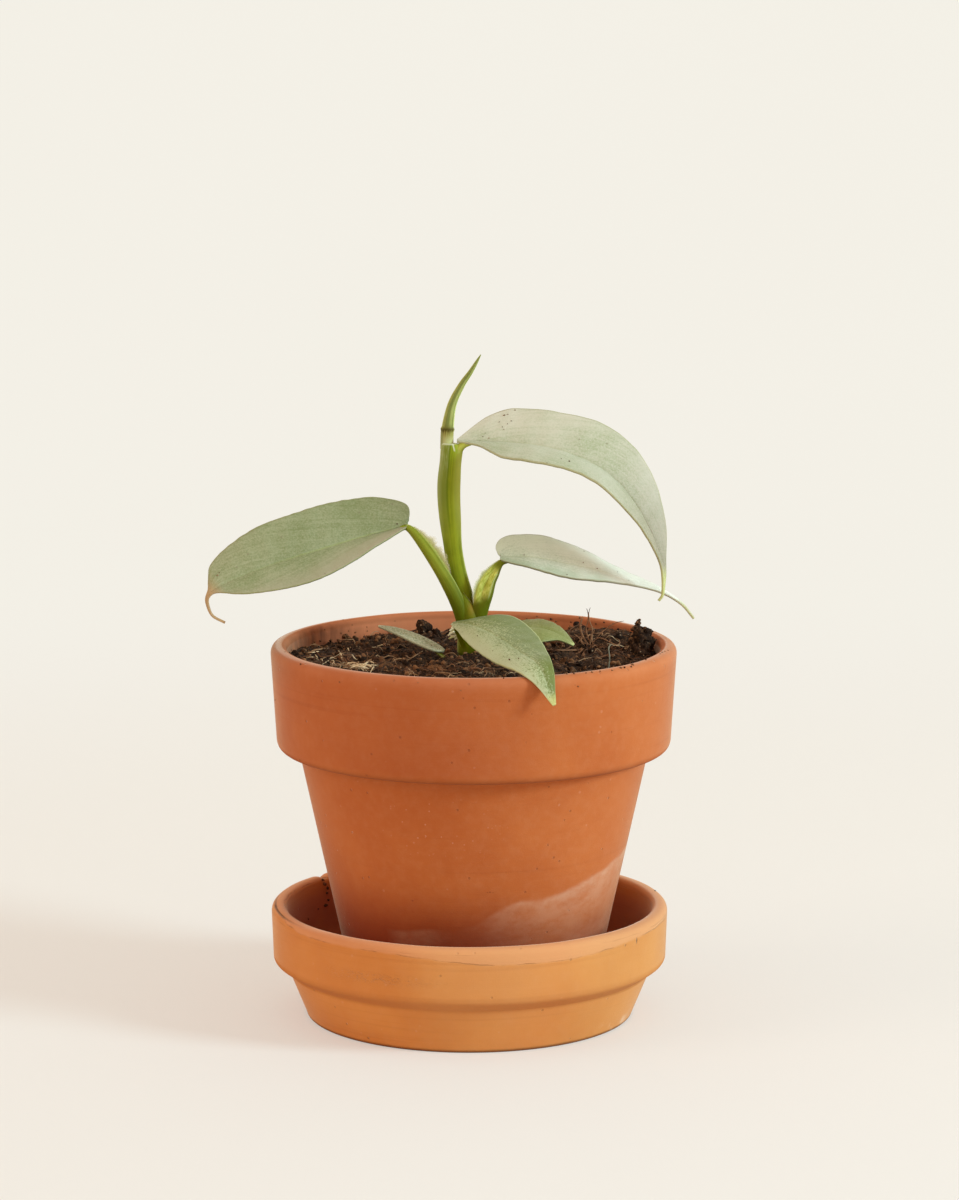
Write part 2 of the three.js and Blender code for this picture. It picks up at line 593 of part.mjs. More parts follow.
const potWithSoil = new THREE.Group();
potWithSoil.position.x = POT_OFFSET_X;
potWithSoil.add(piece('pot', potGeometry(), terracotta(0xc07040)));

const soil = piece(
  'soil',
  soilGeometry([CROWN, PETIOLE_SMALL_RIGHT, PETIOLE_SMALL_LEFT].map((stem) => ({
    ...stem,
    path: stem.path.map(([x, y, z]) => [x - POT_OFFSET_X, y, z]),
  }))),
  pottingSoil(),
);
potWithSoil.add(soil);

const object = new THREE.Group();
object.add(piece('saucer', saucerGeometry(), terracotta(0xd08a4c)));
object.add(potWithSoil, plant);

export default object;
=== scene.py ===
"""A young philodendron hastatum in a terracotta pot on its saucer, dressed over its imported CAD.

Tables are in millimetres, as the plant was measured; everything that is built is in metres.
The origin is the centre of the saucer's underside, and the front of the plant faces -Y.
"""

import json
import math
import random

import bmesh
import bpy
import numpy as np
from bpy.props import FloatProperty, FloatVectorProperty, IntProperty, PointerProperty
from bpy.types import Operator, Panel, PropertyGroup
from mathutils import Matrix, Vector, noise
from mathutils.bvhtree import BVHTree

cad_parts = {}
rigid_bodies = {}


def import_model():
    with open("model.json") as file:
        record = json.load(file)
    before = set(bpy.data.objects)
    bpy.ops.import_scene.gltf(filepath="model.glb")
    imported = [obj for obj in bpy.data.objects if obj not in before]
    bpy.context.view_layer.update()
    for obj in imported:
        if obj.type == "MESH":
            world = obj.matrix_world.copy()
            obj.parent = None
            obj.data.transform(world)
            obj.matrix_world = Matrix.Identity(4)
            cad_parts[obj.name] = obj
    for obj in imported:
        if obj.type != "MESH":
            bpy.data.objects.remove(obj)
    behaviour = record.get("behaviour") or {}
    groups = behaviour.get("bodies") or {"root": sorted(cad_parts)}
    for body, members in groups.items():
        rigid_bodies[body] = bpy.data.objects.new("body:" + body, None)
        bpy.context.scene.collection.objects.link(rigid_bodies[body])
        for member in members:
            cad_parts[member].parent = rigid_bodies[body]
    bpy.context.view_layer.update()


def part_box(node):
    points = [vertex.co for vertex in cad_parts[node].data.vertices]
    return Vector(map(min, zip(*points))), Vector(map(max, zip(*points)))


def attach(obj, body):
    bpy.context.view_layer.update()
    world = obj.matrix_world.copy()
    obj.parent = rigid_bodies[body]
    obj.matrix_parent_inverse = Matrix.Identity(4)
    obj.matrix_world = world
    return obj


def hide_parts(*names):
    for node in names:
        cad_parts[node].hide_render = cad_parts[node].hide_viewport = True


bl_info = {
    "name": "Potted Philodendron",
    "version": (1, 0, 0),
    "blender": (4, 5, 0),
    "location": "View3D > Sidebar > Plant",
    "description": "Models a young philodendron hastatum in a terracotta pot on its saucer",
    "category": "Add Mesh",
}

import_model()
POT_LOW, POT_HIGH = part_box("pot")
SAUCER_LOW, SAUCER_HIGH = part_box("saucer")

MM = 0.001
BODY = "root"
POT_CENTRE_X = (POT_LOW.x + POT_HIGH.x) / 2

# The camera stands before the plant and looks a little down on it
CAMERA_PLACE = Vector((0.0030, -1.1731, 0.3180))
CAMERA_PITCH = math.radians(9.391)
CAMERA_LENS = 121.31
CAMERA_SENSOR = 36
FRAME_WIDTH = 959
FRAME_HEIGHT = 1200
FOCAL_PIXELS = CAMERA_LENS / CAMERA_SENSOR * FRAME_HEIGHT

# Smooth lines through the tables' points
CURVE_SAMPLES = 800
TANGENT_STEP = 0.02


# Settings


class ClaySettings(PropertyGroup):
    rim_radius: FloatProperty(
        name="Pot rim radius", description="Outer radius of the pot's rim",
        default=(POT_HIGH.x - POT_LOW.x) / 2, min=0.01, unit="LENGTH",
    )
    saucer_radius: FloatProperty(
        name="Saucer radius", description="Outer radius of the saucer's rim",
        default=(SAUCER_HIGH.x - SAUCER_LOW.x) / 2, min=0.01, unit="LENGTH",
    )
    segments: IntProperty(
        name="Turned segments", description="Faces once round the pot and the saucer", default=256, min=64,
    )
    pot_color: FloatVectorProperty(
        name="Pot clay", description="Fired clay of the pot", subtype="COLOR", min=0, max=1,
        default=(0.455, 0.113, 0.0260),
    )
    saucer_color: FloatVectorProperty(
        name="Saucer clay", description="Yellower clay of the saucer", subtype="COLOR", min=0, max=1,
        default=(0.620, 0.218, 0.0500),
    )
    damp_color: FloatVectorProperty(
        name="Damp clay", description="Clay that has drawn up water", subtype="COLOR", min=0, max=1,
        default=(0.285, 0.043, 0.0125),
    )
    bloom_color: FloatVectorProperty(
        name="Mineral bloom", description="Pale salts where the water dries", subtype="COLOR", min=0, max=1,
        default=(0.62, 0.345, 0.215),
    )


class SoilSettings(PropertyGroup):
    crumbs: IntProperty(
        name="Crumbs", description="Loose crumbs that lie on the soil", default=1900, min=0,
    )
    fibres: IntProperty(
        name="Fibres", description="Coir and root fibres that lie in the soil", default=820, min=0,
    )
    dark_color: FloatVectorProperty(
        name="Peat", description="Darkest part of the soil", subtype="COLOR", min=0, max=1,
        default=(0.022, 0.0105, 0.0058),
    )
    light_color: FloatVectorProperty(
        name="Coir", description="Lighter part of the soil", subtype="COLOR", min=0, max=1,
        default=(0.300, 0.132, 0.056),
    )


class PlantSettings(PropertyGroup):
    blade_thickness: FloatProperty(
        name="Blade thickness", description="Thickness of a leaf at its midrib",
        default=0.00072, min=0.0002, unit="LENGTH",
    )
    vein_relief: FloatProperty(
        name="Vein relief", description="How strongly the veins stand out of a leaf", default=1.0, min=0,
        max=3,
    )
    stem_color: FloatVectorProperty(
        name="Stem green", description="Fresh green of the leaf stalks", subtype="COLOR", min=0, max=1,
        default=(0.185, 0.220, 0.007),
    )


class StudioSettings(PropertyGroup):
    floor_color: FloatVectorProperty(
        name="Paper", description="Cream paper under and behind the plant", subtype="COLOR", min=0, max=1,
        default=(0.903, 0.874, 0.798),
    )
    key_power: FloatProperty(
        name="Key light", description="Power of the soft light on the right", default=46.0, min=0,
        unit="POWER",
    )
    fill_power: FloatProperty(
        name="Fill light", description="Power of the soft light on the left", default=10.0, min=0,
        unit="POWER",
    )


class PlantProject(PropertyGroup):
    clay: PointerProperty(type=ClaySettings, name="Clay", description="Pot and saucer")
    soil: PointerProperty(type=SoilSettings, name="Soil", description="Potting soil")
    plant: PointerProperty(type=PlantSettings, name="Plant", description="Leaves and stalks")
    studio: PointerProperty(type=StudioSettings, name="Studio", description="Floor and lights")


# Smooth lines


def smooth_line(points, samples=CURVE_SAMPLES):
    """Rows of places on a smooth line through the given points."""
    given = np.array(points, float)
    ends = np.vstack((2 * given[0] - given[1], given, 2 * given[-1] - given[-2]))
    where = np.linspace(0, len(given) - 1, samples + 1)
    span = np.minimum(where.astype(int), len(given) - 2)
    t = (where - span)[:, None]
    a, b, c, d = (ends[span + k] for k in range(4))
    rise, fall = (c - a) / 2, (d - b) / 2
    return (
        (2 * t**3 - 3 * t**2 + 1) * b + (t**3 - 2 * t**2 + t) * rise
        + (3 * t**2 - 2 * t**3) * c + (t**3 - t**2) * fall
    )


def value_line(rows, column):
    """A function of the place from 0 to 1, smooth through one column of a table."""
    line = smooth_line([(row[0], row[column]) for row in rows])
    return lambda place: float(np.interp(place, line[:, 0], line[:, 1]))


class Track:
    """A smooth line through space, with its direction, side and normal at each part of its length."""

    def __init__(self, points, side):
        self.line = smooth_line(points)
        run = np.concatenate(([0], np.cumsum(np.linalg.norm(np.diff(self.line, axis=0), axis=1))))
        self.length = run[-1]
        self.share = run / run[-1]
        self.side = [value_line(side, column) for column in (1, 2, 3)]

    def place(self, s):
        s = min(max(s, 0), 1)
        return Vector([float(np.interp(s, self.share, self.line[:, axis])) for axis in range(3)])

    def frame(self, s):
        along = (self.place(s + TANGENT_STEP) - self.place(s - TANGENT_STEP)).normalized()
        across = Vector([value(s) for value in self.side])
        across = (across - along * across.dot(along)).normalized()
        return self.place(s), along, across, across.cross(along)


def bump(angle, spread):
    """1 at angle 0 and almost 0 past twice the spread."""
    turn = math.atan2(math.sin(angle), math.cos(angle))
    return math.exp(-((turn / spread) ** 2))


def wander(*place):
    """Smooth random value from about -1 to 1 at a place."""
    return noise.noise(Vector(place))


# Meshes


def add_object(name, data):
    made = bpy.data.objects.new(name, data)
    bpy.context.scene.collection.objects.link(made)
    return made


def to_mesh(name, bm, *materials):
    """Turns the modelled faces into a smooth mesh with its materials."""
    mesh = bpy.data.meshes.new(name)
    bm.to_mesh(mesh)
    bm.free()
    mesh.shade_smooth()
    for material in materials:
        mesh.materials.append(material)
    return mesh


def place_piece(name, mesh, slot, *replaced):
    """Makes the object of a piece in place, and ties it to the frame."""
    piece = add_object(name, mesh)
    if replaced:
        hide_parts(*replaced)
    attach(piece, BODY)
    return piece


def finish_piece(name, bm, material, slot, *replaced):
    return place_piece(name, to_mesh(name, bm, material), slot, *replaced)


def thicken(piece, name, thickness):
    shell = piece.modifiers.new(name, "SOLIDIFY")
    shell.thickness, shell.offset = thickness, 0.0


def rounded_profile(corners, spacing, closed):
    """Points of a turned profile: each corner is radius, height and round, and long sides are divided."""
    points = []
    count = len(corners)
    for index, (radius, height, round_) in enumerate(corners):
        here = Vector((radius, height))
        if round_ == 0 or (not closed and index in (0, count - 1)):
            points.append(here)
            continue
        before = (Vector(corners[index - 1][:2]) - here).normalized()
        after = (Vector(corners[(index + 1) % count][:2]) - here).normalized()
        reach = round_ / math.tan(before.angle(after) / 2)
        start, end = here + before * reach, here + after * reach
        steps = max(4, math.ceil((end - start).length / 0.5))
        for k in range(steps + 1):
            t = k / steps
            points.append(start * (1 - t) ** 2 + here * 2 * t * (1 - t) + end * t * t)
    dense = []
    pairs = zip(points, points[1:] + points[:1]) if closed else zip(points, points[1:])
    for a, b in pairs:
        steps = max(1, math.ceil((b - a).length / spacing))
        dense += [a.lerp(b, k / steps) for k in range(steps)]
    if not closed:
        dense.append(points[-1])
    return [p for i, p in enumerate(dense) if i == 0 or (p - dense[i - 1]).length > 1e-4]


def turn_profile(corners, segments, spacing, closed=False):
    """A shell turned about the vertical axis, in mm round x = 0."""
    bm = bmesh.new()
    line = rounded_profile(corners, spacing, closed)
    verts = [bm.verts.new((p.x, 0, p.y)) for p in line]
    pairs = zip(verts, verts[1:] + verts[:1]) if closed else zip(verts, verts[1:])
    edges = [bm.edges.new(pair) for pair in pairs]
    bmesh.ops.spin(
        bm, geom=verts + edges, cent=(0, 0, 0), axis=(0, 0, 1), dvec=(0, 0, 0),
        angle=2 * math.pi, steps=segments, use_merge=True, use_duplicate=False,
    )
    bmesh.ops.remove_doubles(bm, verts=bm.verts, dist=1e-3)
    bmesh.ops.recalc_face_normals(bm, faces=bm.faces)
    return bm


def to_metres(bm, shift_x=0.0):
    bmesh.ops.translate(bm, verts=bm.verts, vec=(shift_x, 0, 0))
    bmesh.ops.scale(bm, verts=bm.verts, vec=(MM, MM, MM))


def lay_grid(bm, columns, rows, warp, place):
    """A grid whose points go where place(across, along) says; the warp crowds them first."""
    uv = bm.loops.layers.uv.get("UVMap") or bm.loops.layers.uv.new("UVMap")
    made = bmesh.ops.create_grid(bm, x_segments=columns, y_segments=rows, size=1.0)["verts"]
    faces = {face for vert in made for face in vert.link_faces}
    for vert in made:
        vert.co.x, vert.co.y = warp(vert.co.x, (vert.co.y + 1) / 2)
    for face in faces:
        for loop in face.loops:
            loop[uv].uv = ((loop.vert.co.x + 1) / 2, loop.vert.co.y)
    for vert in made:
        vert.co = place(vert.co.x, vert.co.y)
    return made


class Heap:
    """Gathers many uneven crumbs into one mesh; each handful is modelled apart, which is quicker."""

    HANDFUL = 40

    def __init__(self):
        self.whole = bmesh.new()
        self.whole.verts.layers.float.new("tone")
        self.start_handful()

    def start_handful(self):
        self.part = bmesh.new()
        self.tone = self.part.verts.layers.float.new("tone")
        self.count = 0

    def gather(self):
        bmesh.ops.recalc_face_normals(self.part, faces=self.part.faces)
        mesh = to_mesh("handful", self.part)
        self.whole.from_mesh(mesh)
        bpy.data.meshes.remove(mesh)
        self.start_handful()

    def lump(self, tone, centre, size, fineness, rough, seed, turn=None):
        """An uneven crumb: a small ball pushed in and out, then stretched, turned and placed."""
        made = bmesh.ops.create_icosphere(self.part, subdivisions=fineness, radius=1.0)["verts"]
        shift = Vector((seed * 3.7, seed * 1.3, seed * 2.1))
        spin = Matrix.Rotation(seed * 1.9, 3, (0.3, 0.5, 0.8)) if turn is None else turn
        shape = spin @ Matrix.Diagonal(size)
        middle = Vector(centre)
        for vert in made:
            way = vert.co.normalized()
            swell = 1 + rough * noise.noise(way * 1.4 + shift) + 0.6 * rough * noise.noise(way * 3.3 + shift)
            if fineness > 3:
                swell += 0.55 * rough * noise.noise(way * 7.5 + shift)
            vert.co = middle + shape @ (way * swell)
            vert[self.tone] = tone
        self.count += 1
        if self.count >= self.HANDFUL:
            self.gather()

    def mesh_parts(self):
        self.gather()
        self.part.free()
        return self.whole


def sight(u, v):
    """Direction from the camera through a point of the 959 x 1200 picture."""
    x, y = (u - FRAME_WIDTH / 2) / FOCAL_PIXELS, (FRAME_HEIGHT / 2 - v) / FOCAL_PIXELS
    c, s = math.cos(CAMERA_PITCH), math.sin(CAMERA_PITCH)
    return Vector((x, c + y * s, y * c - s))


def at_depth(u, v, y):
    """The place in mm behind a point of the picture, at a given distance back from the origin."""
    way, eye = sight(u, v), CAMERA_PLACE / MM
    return tuple(eye + way * ((y - eye.y) / way.y))


class Eye:
    """Looks from the camera through a point of the 959 x 1200 picture at a piece."""

    def __init__(self, *pieces):
        self.trees = []
        for piece in pieces:
            bm = bmesh.new()
            bm.from_mesh(piece.data)
            self.trees.append(BVHTree.FromBMesh(bm))
            bm.free()

    def reaches(self, u, v):
        way = sight(u, v)
        return any(tree.ray_cast(CAMERA_PLACE, way)[0] is not None for tree in self.trees)

    def touch(self, u, v):
        """Where the line of sight through the point first meets the piece, and the normal there."""
        way = sight(u, v).normalized()
        best = None
        for tree in self.trees:
            place, normal, _, distance = tree.ray_cast(CAMERA_PLACE, way)
            if place is not None and (best is None or distance < best[2]):
                best = (place, normal if normal.dot(way) < 0 else -normal, distance)
        if best is None:
            raise RuntimeError(f"nothing lies behind the picture's point {u}, {v}")
        return best[0], best[1]


# Materials


class Value:
    """A node's output that can be reckoned with: every sign adds a math node to its tree."""

    def __init__(self, recipe, socket):
        self.recipe, self.socket = recipe, socket

    def __add__(self, other):
        return self.recipe.math("ADD", self, other)

    def __sub__(self, other):
        return self.recipe.math("SUBTRACT", self, other)

    def __mul__(self, other):
        return self.recipe.math("MULTIPLY", self, other)

    def __pow__(self, other):
        return self.recipe.math("POWER", self, other)

    def __gt__(self, other):
        return self.recipe.math("GREATER_THAN", self, other)

    def __abs__(self):
        return self.recipe.math("ABSOLUTE", self)


class Recipe:
    """Short calls that add nodes to one tree and join them."""

    def __init__(self, tree):
        self.tree = tree

    def put(self, socket, value):
        if isinstance(value, Value):
            self.tree.links.new(value.socket, socket)
        elif socket.type == "RGBA":
            socket.default_value = (*tuple(value)[:3], 1)
        else:
            socket.default_value = value

    def node(self, kind, inputs=(), **settings):
        node = self.tree.nodes.new(kind)
        for name, value in settings.items():
            setattr(node, name, value)
        for key, value in dict(inputs).items():
            self.put(node.inputs[key], value)
        return [Value(self, socket) for socket in node.outputs]

    def add(self, kind, inputs=(), output=0, **settings):
        """One output of a new shader node."""
        return self.node("ShaderNode" + kind, inputs, **settings)[output]

    def math(self, operation, *values, clamp=False):
        return self.add("Math", enumerate(values), operation=operation, use_clamp=clamp)

    def mix(self, factor, low, high, blend="MIX"):
        return self.add("Mix", {0: factor, 6: low, 7: high}, 2, data_type="RGBA", blend_type=blend)

    def dye(self, color, tint):
        return self.mix(1.0, color, tint, "MULTIPLY")

    def fade(self, value, start, end, low=0.0, high=1.0):
        """A smooth change from low to high as the value goes from start to end."""
        return self.add(
            "MapRange", enumerate((value, start, end, low, high)), interpolation_type="SMOOTHSTEP",
        )

    def ridge(self, value, centre, width):
        """1 where the value is at the centre, 0 from the width on either side."""
        return self.fade(abs(value - centre), width, 0.0)

    def noise(self, vector, scale, detail=3.0, rough=0.5, distortion=0.0):
        inputs = {
            "Vector": vector, "Scale": scale, "Detail": detail, "Roughness": rough,
            "Distortion": distortion,
        }
        return self.add("TexNoise", inputs)

    def cells(self, vector, scale):
        """Distance from the middle of scattered cells, and each cell's own random values."""
        distance, color, *_ = self.node("ShaderNodeTexVoronoi", {"Vector": vector, "Scale": scale})
        return distance, self.split(color)

    def stretch(self, vector, scale, location=(0, 0, 0), rotation=(0, 0, 0)):
        inputs = {"Vector": vector, "Scale": scale, "Location": location, "Rotation": rotation}
        return self.add("Mapping", inputs)

    def ramp(self, value, stops):
        """A level between 0 and 1 that follows stops of place and level."""
        node = self.tree.nodes.new("ShaderNodeValToRGB")
        self.put(node.inputs[0], value)
        elements = node.color_ramp.elements
        elements.remove(elements[-1])
        elements[0].position = stops[0][0]
        for place, _ in stops[1:]:
            elements.new(place)
        for element, (_, level) in zip(elements, stops):
            element.color = (level, level, level, 1)
        return Value(self, node.outputs[0])

    def split(self, vector):
        return self.node("ShaderNodeSeparateXYZ", {0: vector})

    def join(self, x, y, z=0.0):
        return self.add("CombineXYZ", enumerate((x, y, z)))

    def place(self):
        """The place on the object, in metres."""
        return self.add("TexCoord", output=3)

    def sheet(self):
        """The piece's own map: across in X and along in Y."""
        return self.add("UVMap", uv_map="UVMap")

    def group(self, tree, **inputs):
        named = {name.replace("_", " "): value for name, value in inputs.items()}
        return self.node("ShaderNodeGroup", named, node_tree=tree)

    def give(self, color, roughness, height):
        """Ends a node group with the three values that every finish takes."""
        for name, kind in (("Color", "Color"), ("Roughness", "Float"), ("Height", "Float")):
            self.tree.interface.new_socket(name=name, in_out="OUTPUT", socket_type="NodeSocket" + kind)
        result = self.tree.nodes.new("NodeGroupOutput").inputs
        for socket, value in zip(result, (color, roughness, height)):
            self.put(socket, value)
        return self.tree

    def for_camera(self, others, seen):
        """One shader for the camera's own rays and another for the light's."""
        return self.add("MixShader", {0: self.add("LightPath"), 1: others, 2: seen})

    def surface(self, color, roughness, height, **uniform):
        """The finish itself; uniform values are set on its own sockets."""
        relief = self.add("Bump", {"Height": height, "Distance": MM, "Strength": 1.0})
        inputs = {"Base Color": color, "Roughness": roughness, "Normal": relief}
        inputs.update({name.replace("_", " "): value for name, value in uniform.items()})
        self.node("ShaderNodeOutputMaterial", {0: self.add("BsdfPrincipled", inputs)})


def new_finish(name):
    """An empty material and the recipe that fills it."""
    material = bpy.data.materials.new(name)
    material.use_nodes = True
    material.node_tree.nodes.clear()
    return material, Recipe(material.node_tree)


def new_effect(name, **inputs):
    """An empty node group. Its inputs are colours, numbers or, where no value is given, vectors."""
    tree = bpy.data.node_groups.new(name, "ShaderNodeTree")
    for title, value in inputs.items():
        kind = "Vector" if value is None else "Color" if isinstance(value, tuple) else "Float"
        title = title.replace("_", " ")
        socket = tree.interface.new_socket(name=title, in_out="INPUT", socket_type="NodeSocket" + kind)
        if value is not None:
            socket.default_value = (*value, 1) if kind == "Color" else value
    r = Recipe(tree)
    return r, {socket.name: Value(r, socket) for socket in tree.nodes.new("NodeGroupInput").outputs}


def clay_effect():
    """Fired clay: cloudy tone, thin level throwing lines, fine sand, pits and pale dust."""
    r, entry = new_effect("fired_clay", Place=None, Clay=(0.6, 0.2, 0.07), Lines=1.0)
    place, clay = entry["Place"], entry["Clay"]
    clouds = r.noise(place, 26, 4, 0.55)
    mottle = r.noise(place, 340, 5, 0.62)
    level = r.noise(r.stretch(place, (5, 5, 330)), 1.0, 4, 0.6, 0.3)
    sand = r.noise(place, 3200, 2, 0.7)
    light = r.dye(clay, (1.07, 1.12, 1.16))
    deep = r.dye(clay, (0.95, 0.89, 0.86))
    color = r.mix(r.fade(clouds, 0.3, 0.72), light, deep)
    color = r.mix(r.fade(mottle, 0.35, 0.8, 0, 0.07), color, (0.72, 0.40, 0.24))
    color = r.mix(r.fade(level, 0.42, 0.25, 0, 0.45), color, (0.82, 0.74, 0.70), "MULTIPLY")
    grain, chosen = r.cells(place, 620)
    dark = r.fade(grain, 0.30, 0.18) * (chosen[0] > 0.975)
    pale = r.fade(grain, 0.34, 0.2) * (chosen[1] > 0.985)
    color = r.mix(dark * 0.35, color, (0.15, 0.04, 0.015))
    color = r.mix(pale * 0.09, color, (0.80, 0.55, 0.38))
    roughness = r.fade(mottle, 0.3, 0.8, 0.74, 0.92)
    lines = level * 0.10 * entry["Lines"]
    height = lines + sand * 0.035 + mottle * 0.05 - dark * 0.10
    return r.give(color, roughness, height)


def around(r, place, centre_x):
    """Turns from the front of a turned piece, 0.5 at the front, with its radius and height in mm."""
    x, y, z = r.split(place)
    x -= centre_x
    turn = r.math("ARCTAN2", x, y * -1.0)
    turn = turn * (1 / (2 * math.pi)) + 0.5
    radius = r.math("SQRT", x * x + y * y) * 1000
    return turn, radius, z * 1000


# A ramp holds levels from 0 to 1, so heights round the clay are given as parts of this many mm
RAMP_TOP = 120


def turns(*rows):
    """Ramp stops from rows of degrees from the front and a height in mm."""
    return [(degrees / 360 + 0.5, height / RAMP_TOP) for degrees, height in rows]


def clay_surface(r, color, roughness, height, dust):
    """Dust on the clay catches the light at a low angle."""
    r.surface(
        color, roughness, height, Specular_IOR_Level=0.14, Sheen_Weight=dust, Sheen_Roughness=0.30,
        Sheen_Tint=(1.0, 0.90, 0.72),
    )


def pot_finish(clay, effect):
    """The pot's clay: damp and darker low down, with a pale salt line where the water dries."""
    material, r = new_finish("pot_terracotta")
    place = r.place()
    color, roughness, height = r.group(effect, Place=place, Clay=clay.pot_color, Lines=1.0)
    turn, radius, z = around(r, place, POT_CENTRE_X)
    stray = r.noise(place, 150, 4, 0.6)
    wave = (stray - 0.5) * 7.0
    edge = r.ramp(turn, turns(
        (-180, 38), (-130, 36), (-90, 34), (-60, 33), (-33, 33.4), (-20, 34.6), (-8, 34.6), (0, 36.4),
        (7, 39.8), (13, 42.3), (18, 43.6), (26, 43.2), (35, 44.6), (45, 46.6), (56, 48.6), (65, 50.6),
        (78, 52.0), (110, 50), (150, 42), (180, 38),
    ))
    below = edge * RAMP_TOP - (z + wave * 0.25)
    back = r.fade(turn, 0.995, 0.86)
    side = r.fade(turn, 0.46, 0.62) * back
    outside = r.fade(radius, 30, 31)
    damp_top = r.fade(r.fade(turn, 0.50, 0.60) * back, 0, 1, 51, 38)
    damp = r.fade(z + wave, damp_top, 27.0) * r.fade(side, 0, 1, 1.0, 0.55)
    color = r.mix(damp * 0.93, color, clay.damp_color)
    haze = r.fade(below, -0.3, 1.3) * r.fade(below, 15.0, 1.0, 0.42, 1.0)
    haze *= r.ramp(turn, turns(
        (-180, 40), (-120, 10), (-60, 0), (-38, 0), (-31, 60), (-17, 56), (-9, 12), (-2, 10), (4, 30),
        (14, 70), (26, 84), (42, 100), (50, 116), (60, 118), (75, 116), (120, 70), (180, 40),
    ))
    haze *= r.fade(r.noise(r.stretch(place, (150, 150, 260)), 1.0, 5, 0.68), 0.30, 0.66, 0.35, 1.0)
    crest = r.ridge(below, 1.4, 2.4) * r.fade(turn, 0.505, 0.55) * back
    bloom = r.math("ADD", haze * 0.52, crest * 0.16, clamp=True)
    color = r.mix(bloom * outside, color, clay.bloom_color)
    # Fine lime spatter high on the body
    spatter, cell = r.cells(place, 900)
    spots = r.fade(spatter, 0.32, 0.15) * (cell[0] > 0.8)
    where = r.ridge(turn, 0.465, 0.09) * r.ridge(z, 66, 13)
    color = r.mix(spots * where * 0.24, color, (0.80, 0.52, 0.38))
    # The rim is rubbed paler and pinker, with a painted highlight along the lip's top, and painted shade
    # darkens the crease under the band
    rubbed_and_highlit = r.fade(z, 106.5, 111.2) * r.fade(r.noise(place, 90, 3), 0.25, 0.6, 0.35, 0.8)
    color = r.mix(rubbed_and_highlit * 0.38, color, (0.66, 0.26, 0.12))
    crease_shade = r.ridge(z + wave * 0.12, 80.3, 1.3)
    color = r.mix(crease_shade * outside * 0.36, color, (0.24, 0.065, 0.025))
    # Damp soil has smeared the inner wall, most on the left
    inner = r.fade(radius, 56.6, 55.6) * r.fade(z, 90, 92)
    smear = r.fade(z + wave * 1.2, 112.0, 107.8)
    smear *= inner * r.ramp(turn, turns(
        (-180, 14), (-157, 18), (-143, 32), (-134, 62), (-125, 108), (-112, 120), (-92, 120), (-70, 70),
        (0, 60), (90, 70), (140, 20), (180, 14),
    ))
    streaky = r.fade(r.noise(r.stretch(place, (420, 420, 60)), 1.0, 4, 0.65), 0.32, 0.62, 0.55, 1.0)
    color = r.mix(inner * 0.62, color, (0.74, 0.25, 0.115))
    color = r.mix(smear * streaky * 0.84, color, (0.120, 0.050, 0.027))
    # The edges that turn away from the light are a little darker, and the left of the rim is stained
    edge_in = r.fade(radius, 56.8, 55.9) * r.fade(z, 108.6, 110.0)
    color = r.mix(edge_in * 0.42, color, (0.26, 0.065, 0.018))
    under = r.fade(z, 83.2, 80.6) * r.fade(radius, 54.0, 56.0)
    color = r.mix(under * 0.42, color, (0.24, 0.060, 0.018))
    stain = r.ridge(turn, 0.255, 0.11) * r.fade(z + wave, 100.0, 109.0)
    color = r.mix(stain * 0.5, color, (0.27, 0.110, 0.046))
    # Painted shade: the band is darker on its left half
    dull = r.ramp(turn, turns((-90, 0), (-60, 60), (-35, 108), (-15, 120), (4, 102), (15, 60), (26, 0)))
    dull *= r.fade(radius, 54.5, 56.5) * r.fade(z, 81.0, 84.0)
    color = r.mix(dull, color, (0.87, 0.81, 0.88), "MULTIPLY")
    # No dust in the creases
    bare = r.math("MAXIMUM", r.math("MAXIMUM", crease_shade, under), edge_in)
    clay_surface(r, color, roughness, height, r.fade(bare, 0.0, 0.6, 0.55, 0.0))
    return material


